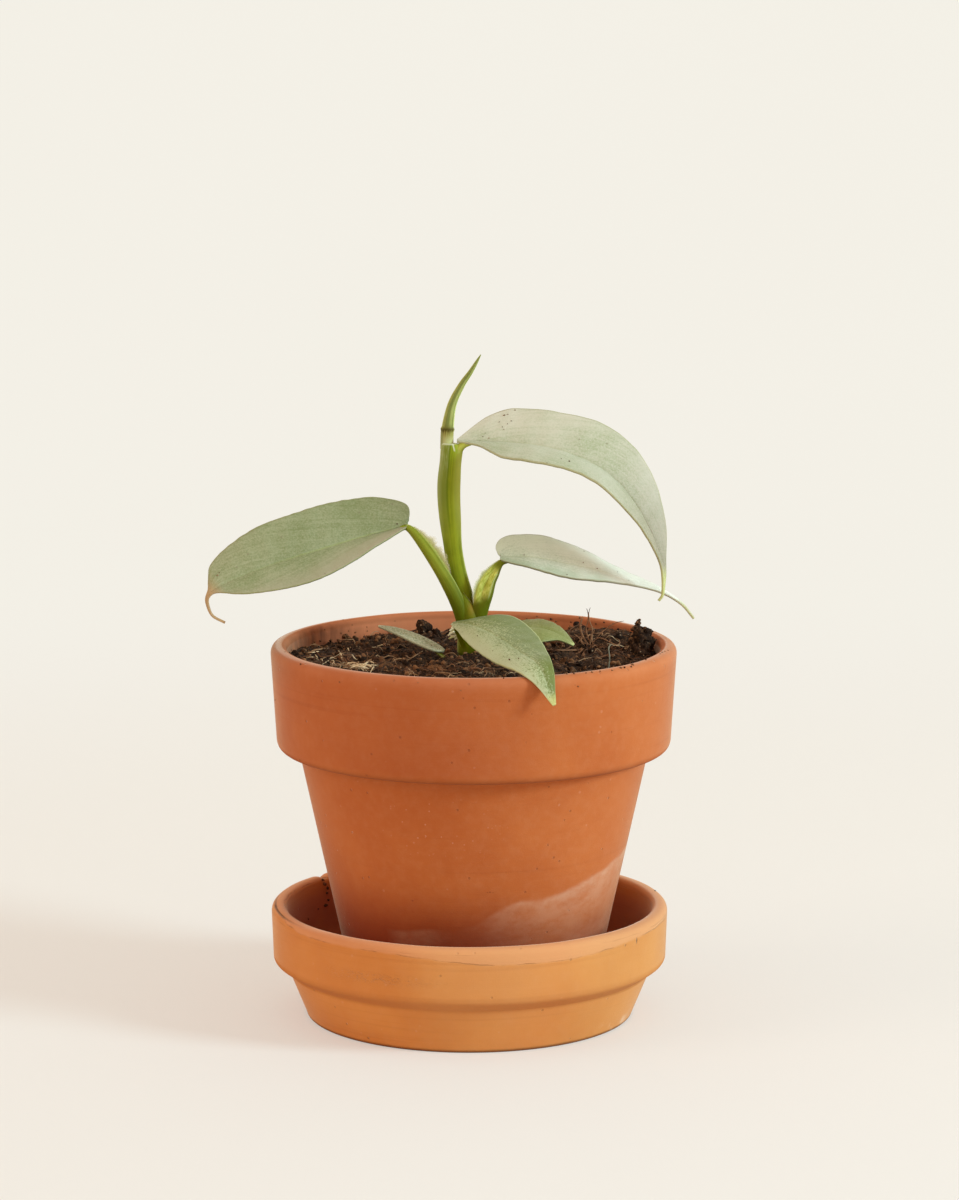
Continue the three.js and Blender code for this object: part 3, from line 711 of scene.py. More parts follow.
def saucer_finish(clay, effect):
    """The saucer's yellower clay, with a rubbed pink lip, a fine crack under it and an inside darkened by
    damp and by painted shade.
    """
    material, r = new_finish("saucer_terracotta")
    place = r.place()
    elsewhere = r.stretch(place, (1, 1, 1), (0.3, 0.2, 0))
    color, roughness, height = r.group(effect, Place=elsewhere, Clay=clay.saucer_color, Lines=1.3)
    turn, radius, z = around(r, place, 0.0)
    stray = r.noise(place, 170, 4, 0.6)
    wave = (stray - 0.5) * 3.2
    crack = r.ramp(turn, turns(
        (-180, 31), (-110, 32.6), (-72, 33.0), (-56, 31.2), (-35, 31.1), (-19, 30.7), (-8, 29.8), (3, 28.7),
        (9, 28.6), (26, 28.3), (40, 29.1), (57, 30.4), (90, 31.0), (180, 31),
    )) * RAMP_TOP
    crack += wave * 0.35
    over = z - crack
    outside = r.fade(radius, 53.0, 55.5)
    lip = r.fade(over, -0.5, 0.5) * outside
    color = r.mix(lip * 0.52, color, (0.74, 0.33, 0.165))
    color = r.mix(r.fade(z, 32.2, 33.2, 0.0, 0.3), color, (0.76, 0.34, 0.17))
    broken = r.fade(r.noise(place, 95, 3, 0.6), 0.40, 0.56)
    lines = r.ridge(over, 0.0, 0.24) * broken * outside * 0.36
    second = r.ridge(z, wave * 0.3 + 31.5, 0.22) * outside * r.fade(r.noise(place, 60, 2, 0.5), 0.44, 0.6)
    left_edge = r.ridge(radius, 57.6, 0.5) * r.ridge(turn, 0.28, 0.075) * r.fade(z, 32.0, 32.6)
    split = r.ridge(turn, 0.6545, 0.0011) * r.ridge(z, 29.4, 1.3)
    # Fine scratches and pits on the band at the front left
    scratch = r.noise(r.stretch(place, (330, 330, 760), (0, 0, 0), (0.4, 0, 0.2)), 1.0, 3, 0.7, 1.6)
    scratch = r.ridge(scratch, 0.5, 0.014) * r.ridge(turn, 0.43, 0.09) * r.ridge(z, 23.0, 3.0)
    for mark in (second * 0.20, left_edge * 0.9, split, scratch * 0.16):
        lines = r.math("ADD", lines, mark, clamp=True)
    color = r.mix(lines, color, (0.16, 0.045, 0.015))
    wall = r.math("MINIMUM", z * 0.41 + 48.3, 56.0)
    # The inside of the dish is darker: damp, and painted shade inside the rim
    damp_shaded_dish = r.fade(radius - wall, -1.3, -2.2) * r.fade(z, 33.0, 27.0) * r.fade(z, 2.5, 4.5)
    damp_shaded_dish *= r.fade(stray, 0.1, 0.5, 0.8, 1.0)
    color = r.mix(damp_shaded_dish * 0.9, color, (0.46, 0.135, 0.066))
    rub = r.ridge(turn, 0.668, 0.035) * r.ridge(z, 2.0, 3.2)
    color = r.mix(rub * r.fade(stray, 0.4, 0.6, 0.0, 0.8), color, (0.90, 0.66, 0.48))
    # Painted shade darkens the left and the middle front is paler and yellower; painted light tints the right
    # cooler
    dull = r.ramp(turn, turns((-75, 0), (-47, 112), (-24, 66), (-13, 0)))
    color = r.mix(dull * outside, color, (0.90, 0.83, 0.82), "MULTIPLY")
    paler_middle = r.ramp(turn, turns((-22, 0), (-8, 104), (13, 120), (26, 70), (70, 66), (120, 0)))
    paler_middle *= r.fade(z, 4.0, 22.0, 0.55, 1.0)
    color = r.mix(paler_middle * 0.26, color, (0.68, 0.38, 0.15))
    # Painted light: the right, where the key light falls, is tinted cooler
    right = r.fade(turn, 0.55, 0.63) * r.fade(turn, 0.99, 0.86)
    color = r.mix(right, color, (0.93, 0.99, 1.0), "MULTIPLY")
    # Painted shade: the very bottom of the foot is darkened where it meets the floor
    foot = r.fade(z + wave * 0.1, 1.35, 0.35)
    color = r.mix(foot * 0.75, color, (0.10, 0.030, 0.012))
    # Painted shade darkens the ledge under the band
    ledge_shade = r.fade(z, 19.2, 16.6) * r.fade(z, 12.6, 14.2)
    color = r.mix(ledge_shade * r.fade(radius, 52.6, 53.6) * 0.34, color, (0.36, 0.11, 0.030))
    height -= lines * 0.35
    bare = r.math("MAXIMUM", ledge_shade, foot)
    clay_surface(r, color, roughness, height, r.fade(bare, 0.0, 0.5, 0.55, 0.0))
    return material


def soil_effect():
    """Peat and coir: dark grains with lighter fibre dust and a few tan specks."""
    r, entry = new_effect(
        "potting_soil", Place=None, Peat=(0.02, 0.01, 0.007), Coir=(0.1, 0.05, 0.025), Tone=0.5,
    )
    place = entry["Place"]
    clouds = r.noise(place, 90, 4, 0.6)
    grains = r.noise(place, 900, 4, 0.7)
    lean = clouds * 0.35 + grains * 0.65 + entry["Tone"] * 0.7 - 0.35
    fine = r.noise(place, 2600, 3, 0.7)
    lean += (fine - 0.5) * 0.42
    color = r.mix(r.fade(lean, 0.38, 0.80), entry["Peat"], entry["Coir"])
    red = r.fade(r.noise(r.stretch(place, (1, 1, 1), (0.05, 0.1, 0)), 240, 3, 0.6), 0.56, 0.7)
    color = r.mix(red * 0.55, color, (0.115, 0.042, 0.020))
    speck, chosen = r.cells(place, 1150)
    tan = r.fade(speck, 0.36, 0.2) * (chosen[0] > 0.935)
    color = r.mix(tan * 0.85, color, (0.42, 0.27, 0.16))
    return r.give(color, r.fade(grains, 0.3, 0.7, 0.85, 1.0), grains * 0.55 + clouds * 0.4)


def soil_finish(soil, effect, name, by_crumb):
    material, r = new_finish(name)
    tone = r.add("Attribute", output=2, attribute_name="tone") if by_crumb else 0.42
    color, roughness, height = r.group(
        effect, Place=r.place(), Peat=soil.dark_color, Coir=soil.light_color, Tone=tone,
    )
    if by_crumb:
        color = r.mix(r.fade(tone, 0.93, 0.96), color, (0.30, 0.165, 0.085))
    r.surface(color, roughness, height, Specular_IOR_Level=0.12)
    return material


def fibre_effect():
    """Plant fibre: streaks along it between a dark and a light tone."""
    r, entry = new_effect("plant_fibre", Place=None, Dark=(0.1, 0.05, 0.03), Light=(0.4, 0.25, 0.13))
    fine = r.noise(entry["Place"], 700, 4, 0.65)
    broad = r.noise(entry["Place"], 60, 2, 0.5)
    lean = fine * 0.55 + broad * 0.45
    color = r.mix(r.fade(lean, 0.35, 0.68), entry["Dark"], entry["Light"])
    return r.give(color, r.fade(fine, 0.3, 0.7, 0.6, 0.85), fine * 0.08)


def fibre_finish(name, effect, dark, light):
    material, r = new_finish(name)
    r.surface(*r.group(effect, Place=r.place(), Dark=dark, Light=light), Specular_IOR_Level=0.25)
    return material


def leaf_effect():
    """A waxy blade: fine veins that leave the midrib and run forward, silvery bloom over green,
    a dry blush, a thin pale margin and a coloured tip."""
    r, entry = new_effect(
        "waxy_leaf", Map=None, Place=None, Green=(0.2, 0.3, 0.1), Silver=(0.5, 0.55, 0.4),
        Blush=(0.6, 0.5, 0.4),
        Margin=(0.6, 0.6, 0.2), Rib=(0.5, 0.55, 0.2), Tip=(0.6, 0.55, 0.2), Far_Tint=(1.0, 1.0, 1.0),
        Blush_Across=0.0, Blush_Along=0.0, Blush_Start=-1.0, Silver_Amount=0.5, Silver_Across=0.0,
        Rib_Strength=0.5, Tip_Start=0.86, Grain=0.7, Relief=1.0, Seed=0.0,
    )
    u, along, _ = r.split(entry["Map"])
    across = u * 2.0 - 1.0
    share = abs(across)
    bend = share ** 0.85 * 0.78
    sweep = along - bend
    half = (across > 0.0) + entry["Seed"]
    flow = r.join(sweep * 17.0, share * 1.4, half)
    streak = r.noise(flow, 1.0, 5, 0.62)
    thin = r.join(sweep * 62.0, share * 1.2, half)
    hair = r.noise(thin, 1.0, 3, 0.6)
    clouds = r.noise(entry["Place"], 85, 4, 0.55)
    wax = r.noise(entry["Place"], 1900, 2, 0.6)
    lean = streak * 0.42 + clouds * 0.58 + (hair - 0.5) * 0.30 + (wax - 0.5) * entry["Grain"]
    lean += entry["Silver Amount"] - 0.5
    # On the front leaf, Silver Across paints the half that faces the bright surroundings more silvery: a
    # painted reflection
    lean += across * entry["Silver Across"]
    color = r.mix(r.fade(lean, 0.22, 0.78), entry["Green"], entry["Silver"])
    dry = across * entry["Blush Across"] + along * entry["Blush Along"] + entry["Blush Start"]
    dry += (clouds - 0.5) * 1.2
    dry += (streak - 0.5) * 0.9
    color = r.mix(r.fade(dry, -0.6, 1.2, 0.0, 0.85), color, entry["Blush"])
    # Painted shade and painted light: Far Tint makes the far part of a blade darker on some leaves and
    # lighter on others, to match how the light falls there
    far_light_and_shade = r.fade(along, 0.40, 0.85)
    color = r.mix(far_light_and_shade, color, entry["Far Tint"], "MULTIPLY")
    rib = r.fade(share, 0.060, 0.01) * entry["Rib Strength"] * r.fade(along, 0.7, 0.2, 0.25, 1.0)
    color = r.mix(rib, color, entry["Rib"])
    margin = r.fade(share, 0.962, 0.992)
    color = r.mix(margin * 0.6, color, entry["Margin"])
    past = along - entry["Tip Start"] + (clouds - 0.5) * 0.05
    color = r.mix(r.fade(past, 0.0, 0.07), color, entry["Tip"])
    spot, cell = r.cells(entry["Place"], 620)
    spots = r.fade(spot, 0.26, 0.12) * (cell[0] > 0.965)
    color = r.mix(spots * 0.45, color, (0.16, 0.11, 0.06))
    roughness = lean * 0.16 + wax * 0.08 + 0.42
    height = streak * 0.10 + hair * 0.07 + wax * 0.02
    return r.give(color, roughness, height * entry["Relief"])


def leaf_finish(name, effect, relief, **values):
    material, r = new_finish(name)
    looks = r.group(effect, Map=r.sheet(), Place=r.place(), Relief=relief, **values)
    r.surface(*looks, Specular_IOR_Level=0.45, Sheen_Weight=0.08, Sheen_Roughness=0.4)
    return material


def stalk_effect():
    """A fresh stalk: long streaks, brighter ribs and a duller strip, its place given in turns."""
    r, entry = new_effect(
        "fresh_stalk", Map=None, Place=None, Green=(0.2, 0.25, 0.02), Bright=(0.4, 0.42, 0.05),
        Strip=(0.3, 0.34, 0.1), Strip_Turn=0.5, Strip_Width=0.0,
    )
    u, along, _ = r.split(entry["Map"])
    angle = u * 2 * math.pi
    ring = r.join(r.math("COSINE", angle), r.math("SINE", angle), along * 0.55)
    streak = r.noise(r.stretch(ring, (3.4, 3.4, 1.6)), 1.0, 5, 0.62)
    fine = r.noise(r.stretch(ring, (11, 11, 3)), 1.0, 3, 0.6)
    clouds = r.noise(entry["Place"], 160, 3, 0.55)
    lean = streak * 0.6 + clouds * 0.4
    color = r.mix(r.fade(lean, 0.36, 0.66), entry["Green"], entry["Bright"])
    shiny = r.dye(entry["Bright"], (1.32, 1.28, 1.2))
    color = r.mix(r.fade(fine, 0.45, 0.75, 0.0, 0.40), color, shiny)
    # Painted highlight: the rim of the stalk, where it turns away to either side, is painted lighter for the
    # light it lets through and reflects
    rim_highlight = r.mix(0.25, r.dye(entry["Bright"], (1.6, 1.6, 1.6)), (0.80, 0.80, 0.50))
    rim = r.fade(abs(r.math("COSINE", angle)), 0.84, 0.99)
    color = r.mix(rim * 0.70, color, rim_highlight)
    apart = r.math("PINGPONG", u - entry["Strip Turn"], 0.5)
    strip = r.fade(apart, entry["Strip Width"], entry["Strip Width"] * 0.7)
    color = r.mix(strip * 0.8, color, entry["Strip"])
    roughness = r.fade(lean, 0.3, 0.7, 0.46, 0.6)
    height = streak * 0.12 + fine * 0.07
    return r.give(color, roughness, height)


def stalk_finish(name, effect, extra=None, **values):
    """A stalk's finish; extra(r, color, u, along, x, z) paints what only this stalk has."""
    material, r = new_finish(name)
    sheet, place = r.sheet(), r.place()
    color, roughness, height = r.group(effect, Map=sheet, Place=place, **values)
    if extra:
        u, along, _ = r.split(sheet)
        x, _, z = r.split(place)
        color = extra(r, color, u, along, x, z)
    r.surface(
        color, roughness, height, Specular_IOR_Level=0.08, Subsurface_Weight=0.06, Subsurface_Scale=0.0012,
    )
    return material


def film_finish(name, tint, edge):
    """A papery film, half see-through towards its torn edge."""
    material, r = new_finish(name)
    u, along, _ = r.split(r.sheet())
    fine = r.noise(r.join(along * 60.0, u * 3.0), 1.0, 4, 0.65)
    color = r.mix(r.fade(u, 0.15, 0.9), tint, edge)
    color = r.mix(r.fade(fine, 0.5, 0.8, 0.0, 0.35), color, (0.66, 0.66, 0.42), "MULTIPLY")
    cover = r.fade(u + (fine - 0.5) * 0.9, 1.0, 0.3, 0.06, 0.85)
    rough = r.fade(r.noise(r.place(), 800, 2), 0.3, 0.7, 0.5, 0.7)
    r.surface(color, rough, fine * 0.1, Alpha=cover, Specular_IOR_Level=0.3)
    return material


# The pot and the saucer

# Corners of the turned profiles: radius, height and round, in mm
SAUCER_PROFILE = [
    (0, 0, 0), (48.3, 0, 1.1), (54, 13.9, 1.6), (58.4, 16.9, 1.9), (59, 33.4, 2.5), (54.5, 33.4, 1.9),
    (53.5, 17.8, 9), (49.6, 6, 4.6), (0, 6, 0),
]
POT_PROFILE = [
    (6, 6, 0.8), (35.6, 6, 1.0), (51.7, 79.8, 1.0), (58.1, 80.5, 3.4), (60, 111.3, 2.8), (55.3, 111.3, 1.8),
    (53.9, 88, 5), (46.7, 75.8, 6), (33.0, 13, 3), (6, 13, 0.8),
]
# The saucer's rim is chipped at the back left: place in degrees from +X, depth and width in mm
RIM_CHIP = (143.0, 1.3, 1.5)
# The lips rise and fall a little: the height where that starts, and over how many mm it grows
SAUCER_LIP = (29, 4.4)
POT_LIP = (108, 3.3)
# Below this height the saucer's foot stays round
FOOT_HEIGHT = 1.5


def widest(profile):
    return max(radius for radius, _, _ in profile)


def waver(turn, pace, height):
    """How unevenly the hands threw the clay there, from 0 to about 2."""
    return 1 + wander(math.cos(turn) * pace, math.sin(turn) * pace, height)


def make_saucer(clay, effect):
    bm = turn_profile(SAUCER_PROFILE, clay.segments, 1.3)
    scale = clay.saucer_radius / MM / widest(SAUCER_PROFILE)
    for vert in bm.verts:
        x, y, z = vert.co
        radius = math.hypot(x, y)
        if radius < 1:
            continue
        turn = math.atan2(y, x)
        sway = (1 - 0.0016 * waver(turn, 1.6, z / 40)) * scale
        if z > SAUCER_LIP[0]:
            apart = (turn - math.radians(RIM_CHIP[0])) * radius / RIM_CHIP[2]
            chip = RIM_CHIP[1] * math.exp(-apart * apart) * (1 + 0.5 * wander(x * 1.1, y * 1.1, z))
            vert.co.z -= (0.14 * waver(turn, 3, 5.0) + chip) * (z - SAUCER_LIP[0]) / SAUCER_LIP[1]
        if z > FOOT_HEIGHT:
            vert.co.x *= sway
            vert.co.y *= sway
    to_metres(bm)
    finish_piece("saucer_shell", bm, saucer_finish(clay, effect), "saucer_clay", "saucer")


def make_pot(clay, effect):
    bm = turn_profile(POT_PROFILE, clay.segments, 1.6, closed=True)
    scale = clay.rim_radius / MM / widest(POT_PROFILE)
    for vert in bm.verts:
        x, y, z = vert.co
        turn = math.atan2(y, x)
        sway = (1 - 0.0011 * waver(turn, 1.5, z / 50 + 9)) * scale
        if z > POT_LIP[0]:
            vert.co.z -= 0.10 * waver(turn, 3, 2.0) * (z - POT_LIP[0]) / POT_LIP[1]
        vert.co.x *= sway
        vert.co.y *= sway
    to_metres(bm, POT_CENTRE_X / MM)
    finish_piece("pot_shell", bm, pot_finish(clay, effect), "pot_clay", "pot")


# The soil

SOIL_LEVEL = 105.8
SOIL_EDGE = 54.75
SOIL_GRID = 190
# Inner wall that the soil's side follows down to the pot's floor: radius and height in mm
SOIL_SIDE = [(54.3, 96), (53.6, 88), (46.4, 75.8), (40, 46), (33.3, 16), (30.3, 13)]
# Low mounds: height, place and spread in mm
MOUNDS = [(2.9, 42, 31, 300), (2.4, 0, 1, 70), (2.4, -52, 4, 230)]
CLOD_SEED = 71
CLOD_COUNT = 32
CLOD_REACH = 51
CLOD_CRUMBS = 26
CRUMB_SEED = 5
CRUMB_REACH = 54.0
BARK_FLAKES = 90
BARK_REACH = 52.0
FIBRE_SEED = 17
FIBRE_REACH = 53.0
FIBRE_END = 53.6
STRAW_SEED = 41
STRAW_REACH = 52.5
STRAW_TOP = 109.5
LOOSE_SEED = 29
# The tall clod at the rim, as lumps: place, half sizes and fineness
RIM_CLOD = [
    ((49.4, 7.5, 108.4), (3.4, 3.2, 3.8), 4), ((49.6, 7.2, 111.4), (2.8, 2.4, 2.5), 4),
    ((50.9, 7.8, 113.1), (1.9, 1.6, 1.4), 4), ((48.3, 7.2, 114.2), (1.2, 1.1, 1.6), 4),
    ((48.8, 7.2, 115.9), (0.55, 0.5, 0.95), 3), ((47.5, 6.8, 110.0), (1.8, 2.0, 2.1), 4),
    ((51.5, 8.5, 109.4), (1.6, 2.0, 2.3), 4), ((46.4, 6.0, 107.6), (2.2, 2.4, 1.7), 4),
    ((49.8, 4.2, 108.0), (2.0, 2.4, 2.5), 4), ((50.0, 0.6, 106.8), (2.0, 2.4, 1.9), 4),
]
# A lower clod at the back left
BACK_CLOD = [
    ((-15.5, 41.0, 108.9), (2.1, 2.0, 1.9), 4), ((-16.3, 41.2, 109.9), (1.3, 1.4, 1.1), 3),
    ((-14.2, 41.0, 108.9), (1.4, 1.5, 1.3), 3), ((-11.2, 40.6, 106.9), (1.9, 1.6, 1.2), 3),
]


def ground(x, y):
    """Height of the soil in mm at a place measured from the pot's centre."""
    slope = 1.1 * x / 60
    bank = sum(high * math.exp(-((x - u) ** 2 + (y - v) ** 2) / spread) for high, u, v, spread in MOUNDS)
    lumps = 0.55 * math.sin(0.31 * x + 0.9) * math.sin(0.27 * y + 0.4)
    ripples = 0.35 * math.sin(0.62 * x - 0.3 * y)
    crumble = (
        0.85 * wander(x / 5.6, y / 5.6, 1.0) + 0.75 * wander(x / 2.3, y / 2.3, 4.0)
        + 0.55 * wander(x / 1.15, y / 1.15, 7.0)
    )
    return SOIL_LEVEL + slope + bank + lumps + ripples + crumble


def lehmer(state):
    """Small seeded random numbers, the same ones as the soil's solid was sown with."""
    while True:
        state = state * 16807 % 2147483647
        yield state / 2147483647


def scatter(draw, reach):
    """A place on the soil, at most the reach from the pot's centre, by two draws from 0 to 1."""
    angle, away = draw() * 2 * math.pi, reach * math.sqrt(draw())
    return away * math.cos(angle), away * math.sin(angle)


def clod_rows():
    """Places and half sizes of the small clods, clear of the stalks and the low leaves."""
    draw = lehmer(CLOD_SEED).__next__
    rows = []
    while len(rows) < CLOD_COUNT:
        x, y = scatter(draw, CLOD_REACH)
        half = 1 + 1.3 * draw()
        size = (half * (0.8 + 0.5 * draw()), half, half * (0.6 + 0.4 * draw()))
        near_stems = abs(x - 2) < 13 and -13 < y < 15
        under_leaves = -32 < x < 34 and -4 < y < 18
        if not near_stems and not under_leaves:
            rows.append((x, y, size))
    return rows


def make_soil_body(soil, effect):
    """The soil: a crumbly top whose side follows the pot's inner wall down to its floor."""
    bm = bmesh.new()
    bmesh.ops.create_grid(bm, x_segments=SOIL_GRID, y_segments=SOIL_GRID, size=1.0)
    for vert in bm.verts:
        x, y, _ = vert.co
        vert.co.x = SOIL_EDGE * x * math.sqrt(1 - y * y / 2)
        vert.co.y = SOIL_EDGE * y * math.sqrt(1 - x * x / 2)
    for vert in bm.verts:
        vert.co.z = ground(vert.co.x, vert.co.y)
    rim = [edge for edge in bm.edges if edge.is_boundary]
    for radius, height in SOIL_SIDE:
        made = bmesh.ops.extrude_edge_only(bm, edges=rim)["geom"]
        for vert in (item for item in made if isinstance(item, bmesh.types.BMVert)):
            flat = Vector((vert.co.x, vert.co.y)).normalized() * radius
            vert.co = (flat.x, flat.y, height)
        rim = [item for item in made if isinstance(item, bmesh.types.BMEdge)]
    bmesh.ops.holes_fill(bm, edges=rim, sides=0)
    bmesh.ops.recalc_face_normals(bm, faces=bm.faces)
    to_metres(bm, POT_CENTRE_X / MM)
    finish = soil_finish(soil, effect, "potting_soil_body", False)
    finish_piece("soil_body", bm, finish, "soil", "soil")


def make_crumbs(soil, effect):
    """Clods, crumbs and bark bits on the soil."""
    rng = random.Random(CRUMB_SEED)
    heap = Heap()
    for k, (centre, size, fineness) in enumerate(RIM_CLOD + BACK_CLOD):
        heap.lump(0.34 + 0.1 * rng.random(), centre, size, fineness, 0.42, 11.3 + k)
    for k, (x, y, size) in enumerate(clod_rows()):
        place = (x, y, ground(x, y) - 0.3 * size[2])
        heap.lump(0.30 + 0.35 * rng.random(), place, size, 3, 0.55, 40.1 + k)
    for k in range(CLOD_CRUMBS):
        # Crumbs that stick to the tall clod
        base, size, _ = RIM_CLOD[rng.randrange(len(RIM_CLOD))]
        way = Vector((rng.gauss(0, 1), rng.gauss(0, 1), rng.gauss(0, 1))).normalized()
        place = [b + w * s * 0.95 for b, w, s in zip(base, way, size)]
        half = 0.35 + 0.5 * rng.random()
        heap.lump(0.4 + 0.4 * rng.random(), place, (half, half * 0.9, half * 0.8), 2, 0.6, 90.7 + k)
    for k in range(soil.crumbs):
        x, y = scatter(rng.random, CRUMB_REACH)
        half = 0.24 + 0.80 * rng.random() ** 3.2
        size = (half * (0.8 + 0.7 * rng.random()), half, half * (0.6 + 0.4 * rng.random()))
        shade = 0.15 + 0.75 * rng.random()
        if rng.random() < 0.03:
            shade = 0.97
            size = tuple(s * 0.6 for s in size)
        place = (x, y, ground(x, y) + 0.35 * half)
        heap.lump(shade, place, size, 2 if half > 0.7 else 1, 0.5, 7.1 + 0.37 * k)
    for k in range(BARK_FLAKES):
        x, y = scatter(rng.random, BARK_REACH)
        size = (0.8 + 1.3 * rng.random(), 0.4 + 0.4 * rng.random(), 0.16 + 0.12 * rng.random())
        turn = Matrix.Rotation(rng.random() * 6.28, 3, "Z") @ Matrix.Rotation(rng.gauss(0, 0.35), 3, "Y")
        place = (x, y, ground(x, y) + 0.35)
        heap.lump(0.7 + 0.2 * rng.random(), place, size, 2, 0.25, 3.3 + k, turn)
    bm = heap.mesh_parts()
    to_metres(bm, POT_CENTRE_X / MM)
    finish = soil_finish(soil, effect, "soil_crumb", True)
    finish_piece("soil_crumbs", bm, finish, "soil")


def tube_mesh(name, rows, materials, sides=0):
    """Thin round strands: each row is its points in mm, its radius in mm and its material's place."""
    curve = bpy.data.curves.new(name, "CURVE")
    curve.dimensions = "3D"
    curve.bevel_depth = MM
    curve.bevel_resolution = sides
    curve.use_fill_caps = True
    for material in materials:
        curve.materials.append(material)
    for points, radius, kind in rows:
        strand = curve.splines.new("POLY")
        strand.points.add(len(points) - 1)
        strand.material_index = kind
        strand.use_smooth = True
        for k, (knot, place) in enumerate(zip(strand.points, points)):
            knot.co = (*(Vector(place) * MM), 1)
            ends = min(k, len(points) - 1 - k)
            knot.radius = radius * (0.45 if ends == 0 else 0.8 if ends == 1 else 1.0)
    holder = add_object(name + "_line", curve)
    bpy.context.view_layer.update()
    solid = holder.evaluated_get(bpy.context.evaluated_depsgraph_get())
    mesh = bpy.data.meshes.new_from_object(solid)
    bpy.data.objects.remove(holder)
    bpy.data.curves.remove(curve)
    mesh.name = name
    mesh.shade_smooth()
    return mesh


def strand_on_soil(rng, x, y, length, lift):
    """Points of a bent fibre that lies on the soil, from a place measured from the pot's centre."""
    steps = max(4, round(length / 1.3))
    heading, turn = rng.random() * 2 * math.pi, rng.gauss(0, 0.10)
    points = []
    arch = lift * rng.random()
    for k in range(steps + 1):
        t = k / steps
        if math.hypot(x, y) > FIBRE_END:
            break
        height = ground(x, y) + 0.30 + arch * math.sin(math.pi * t) + 0.08 * rng.random()
        points.append((x + POT_CENTRE_X / MM, y, height))
        heading += turn + rng.gauss(0, 0.09)
        x += length / steps * math.cos(heading)
        y += length / steps * math.sin(heading)
    return points


def make_fibres(soil, effect):
    """Coir and root fibres that lie in the soil."""
    rng = random.Random(FIBRE_SEED)
    finishes = [
        fibre_finish("fibre_dark", effect, (0.042, 0.019, 0.010), (0.125, 0.056, 0.028)),
        fibre_finish("fibre_red", effect, (0.12, 0.045, 0.019), (0.30, 0.120, 0.050)),
        fibre_finish("fibre_tan", effect, (0.31, 0.150, 0.068), (0.56, 0.330, 0.165)),
        fibre_finish("fibre_straw", effect, (0.60, 0.380, 0.190), (0.90, 0.660, 0.400)),
        fibre_finish("root_grey", effect, (0.21, 0.185, 0.120), (0.38, 0.350, 0.250)),
        fibre_finish("root_orange", effect, (0.26, 0.110, 0.048), (0.52, 0.250, 0.120)),
    ]
    rows = []
    for _ in range(soil.fibres):
        x, y = scatter(rng.random, FIBRE_REACH)
        length = 2.5 + 9 * rng.random() ** 2
        kind = rng.choices([0, 1, 2, 3], weights=[65, 27, 6, 2])[0]
        points = strand_on_soil(rng, x, y, length, 1.3)
        if len(points) > 3:
            rows.append((points, 0.07 + 0.11 * rng.random() ** 2, kind))
    place_piece("soil_fibres", tube_mesh("soil_fibres", rows, finishes), "soil")


# Strands by points of the picture, the first of them on the soil, with radius in mm and finish
STANDING_ROOTS = [
    ([(588, 644), (583, 636), (580.5, 626), (583, 618)], 0.17, 5),
    ([(590, 643), (586, 630), (588, 621), (588.5, 613)], 0.19, 5),
    ([(590, 644), (592.4, 630), (589.5, 621), (588.5, 612)], 0.17, 5),
    ([(588.5, 617), (587.4, 611), (586.6, 608.5)], 0.10, 0),
    ([(588.5, 617), (589.2, 611), (590.4, 607.5)], 0.10, 0),
    ([(585, 641), (581, 633), (580, 624), (583, 616)], 0.15, 5),
    ([(593, 644), (592, 635), (595, 630)], 0.16, 5),
    ([(608.5, 668), (609.6, 658), (608.6, 648), (611.5, 644)], 0.21, 4),
    ([(598, 636), (606, 629), (615, 623), (624, 621)], 0.13, 5),
    ([(583, 646), (579, 638), (574, 634)], 0.15, 5), ([(590, 648), (595, 640), (601, 637)], 0.15, 5),
]
LAID_STRANDS = [
    ([(596, 638), (604, 641), (612, 645), (622, 649)], 0.17, 5),
    ([(547, 651), (556, 652), (570, 652), (580, 651)], 0.20, 5),
    ([(537, 651), (547, 651.5), (556, 652)], 0.12, 5),
    ([(308, 655), (313, 652.5), (321, 651), (330, 649)], 0.22, 2),
    ([(304, 653), (312, 654.5), (320, 652)], 0.18, 3), ([(338, 651), (341, 656), (342, 661)], 0.14, 3),
    ([(345, 666), (352, 664.5), (358, 666), (366, 665)], 0.22, 3),
    ([(352, 668), (360, 669), (368, 668.5)], 0.24, 3), ([(364, 666), (369, 663.5), (374, 664)], 0.26, 3),
    ([(405, 655), (410, 660), (416, 657), (424, 651)], 0.14, 2),
    ([(438, 672), (447, 675), (457, 675), (466, 672)], 0.14, 2),
    ([(462, 672), (470, 670.5), (478, 670), (485, 672)], 0.16, 5),
    ([(455, 665), (463, 664), (470, 665)], 0.13, 2), ([(490, 652), (497, 655), (505, 658)], 0.14, 1),
    ([(557, 641), (556, 646), (560, 649)], 0.17, 2), ([(560, 642), (563, 647), (559, 651)], 0.15, 1),
]
# Where straw lies on the soil: middle and spread in the picture, count, and finishes to choose from
STRAW = [
    ((358, 668.2), (7.5, 1.3), 80, (3, 3, 3, 2)), ((330, 661.5), (20, 3.5), 40, (1, 2, 5, 3)),
    ((440, 671), (34, 3), 30, (1, 1, 2, 5)), ((505, 674), (26, 4), 26, (1, 2, 5)),
    ((590, 647), (16, 5), 30, (1, 5, 5)),
]


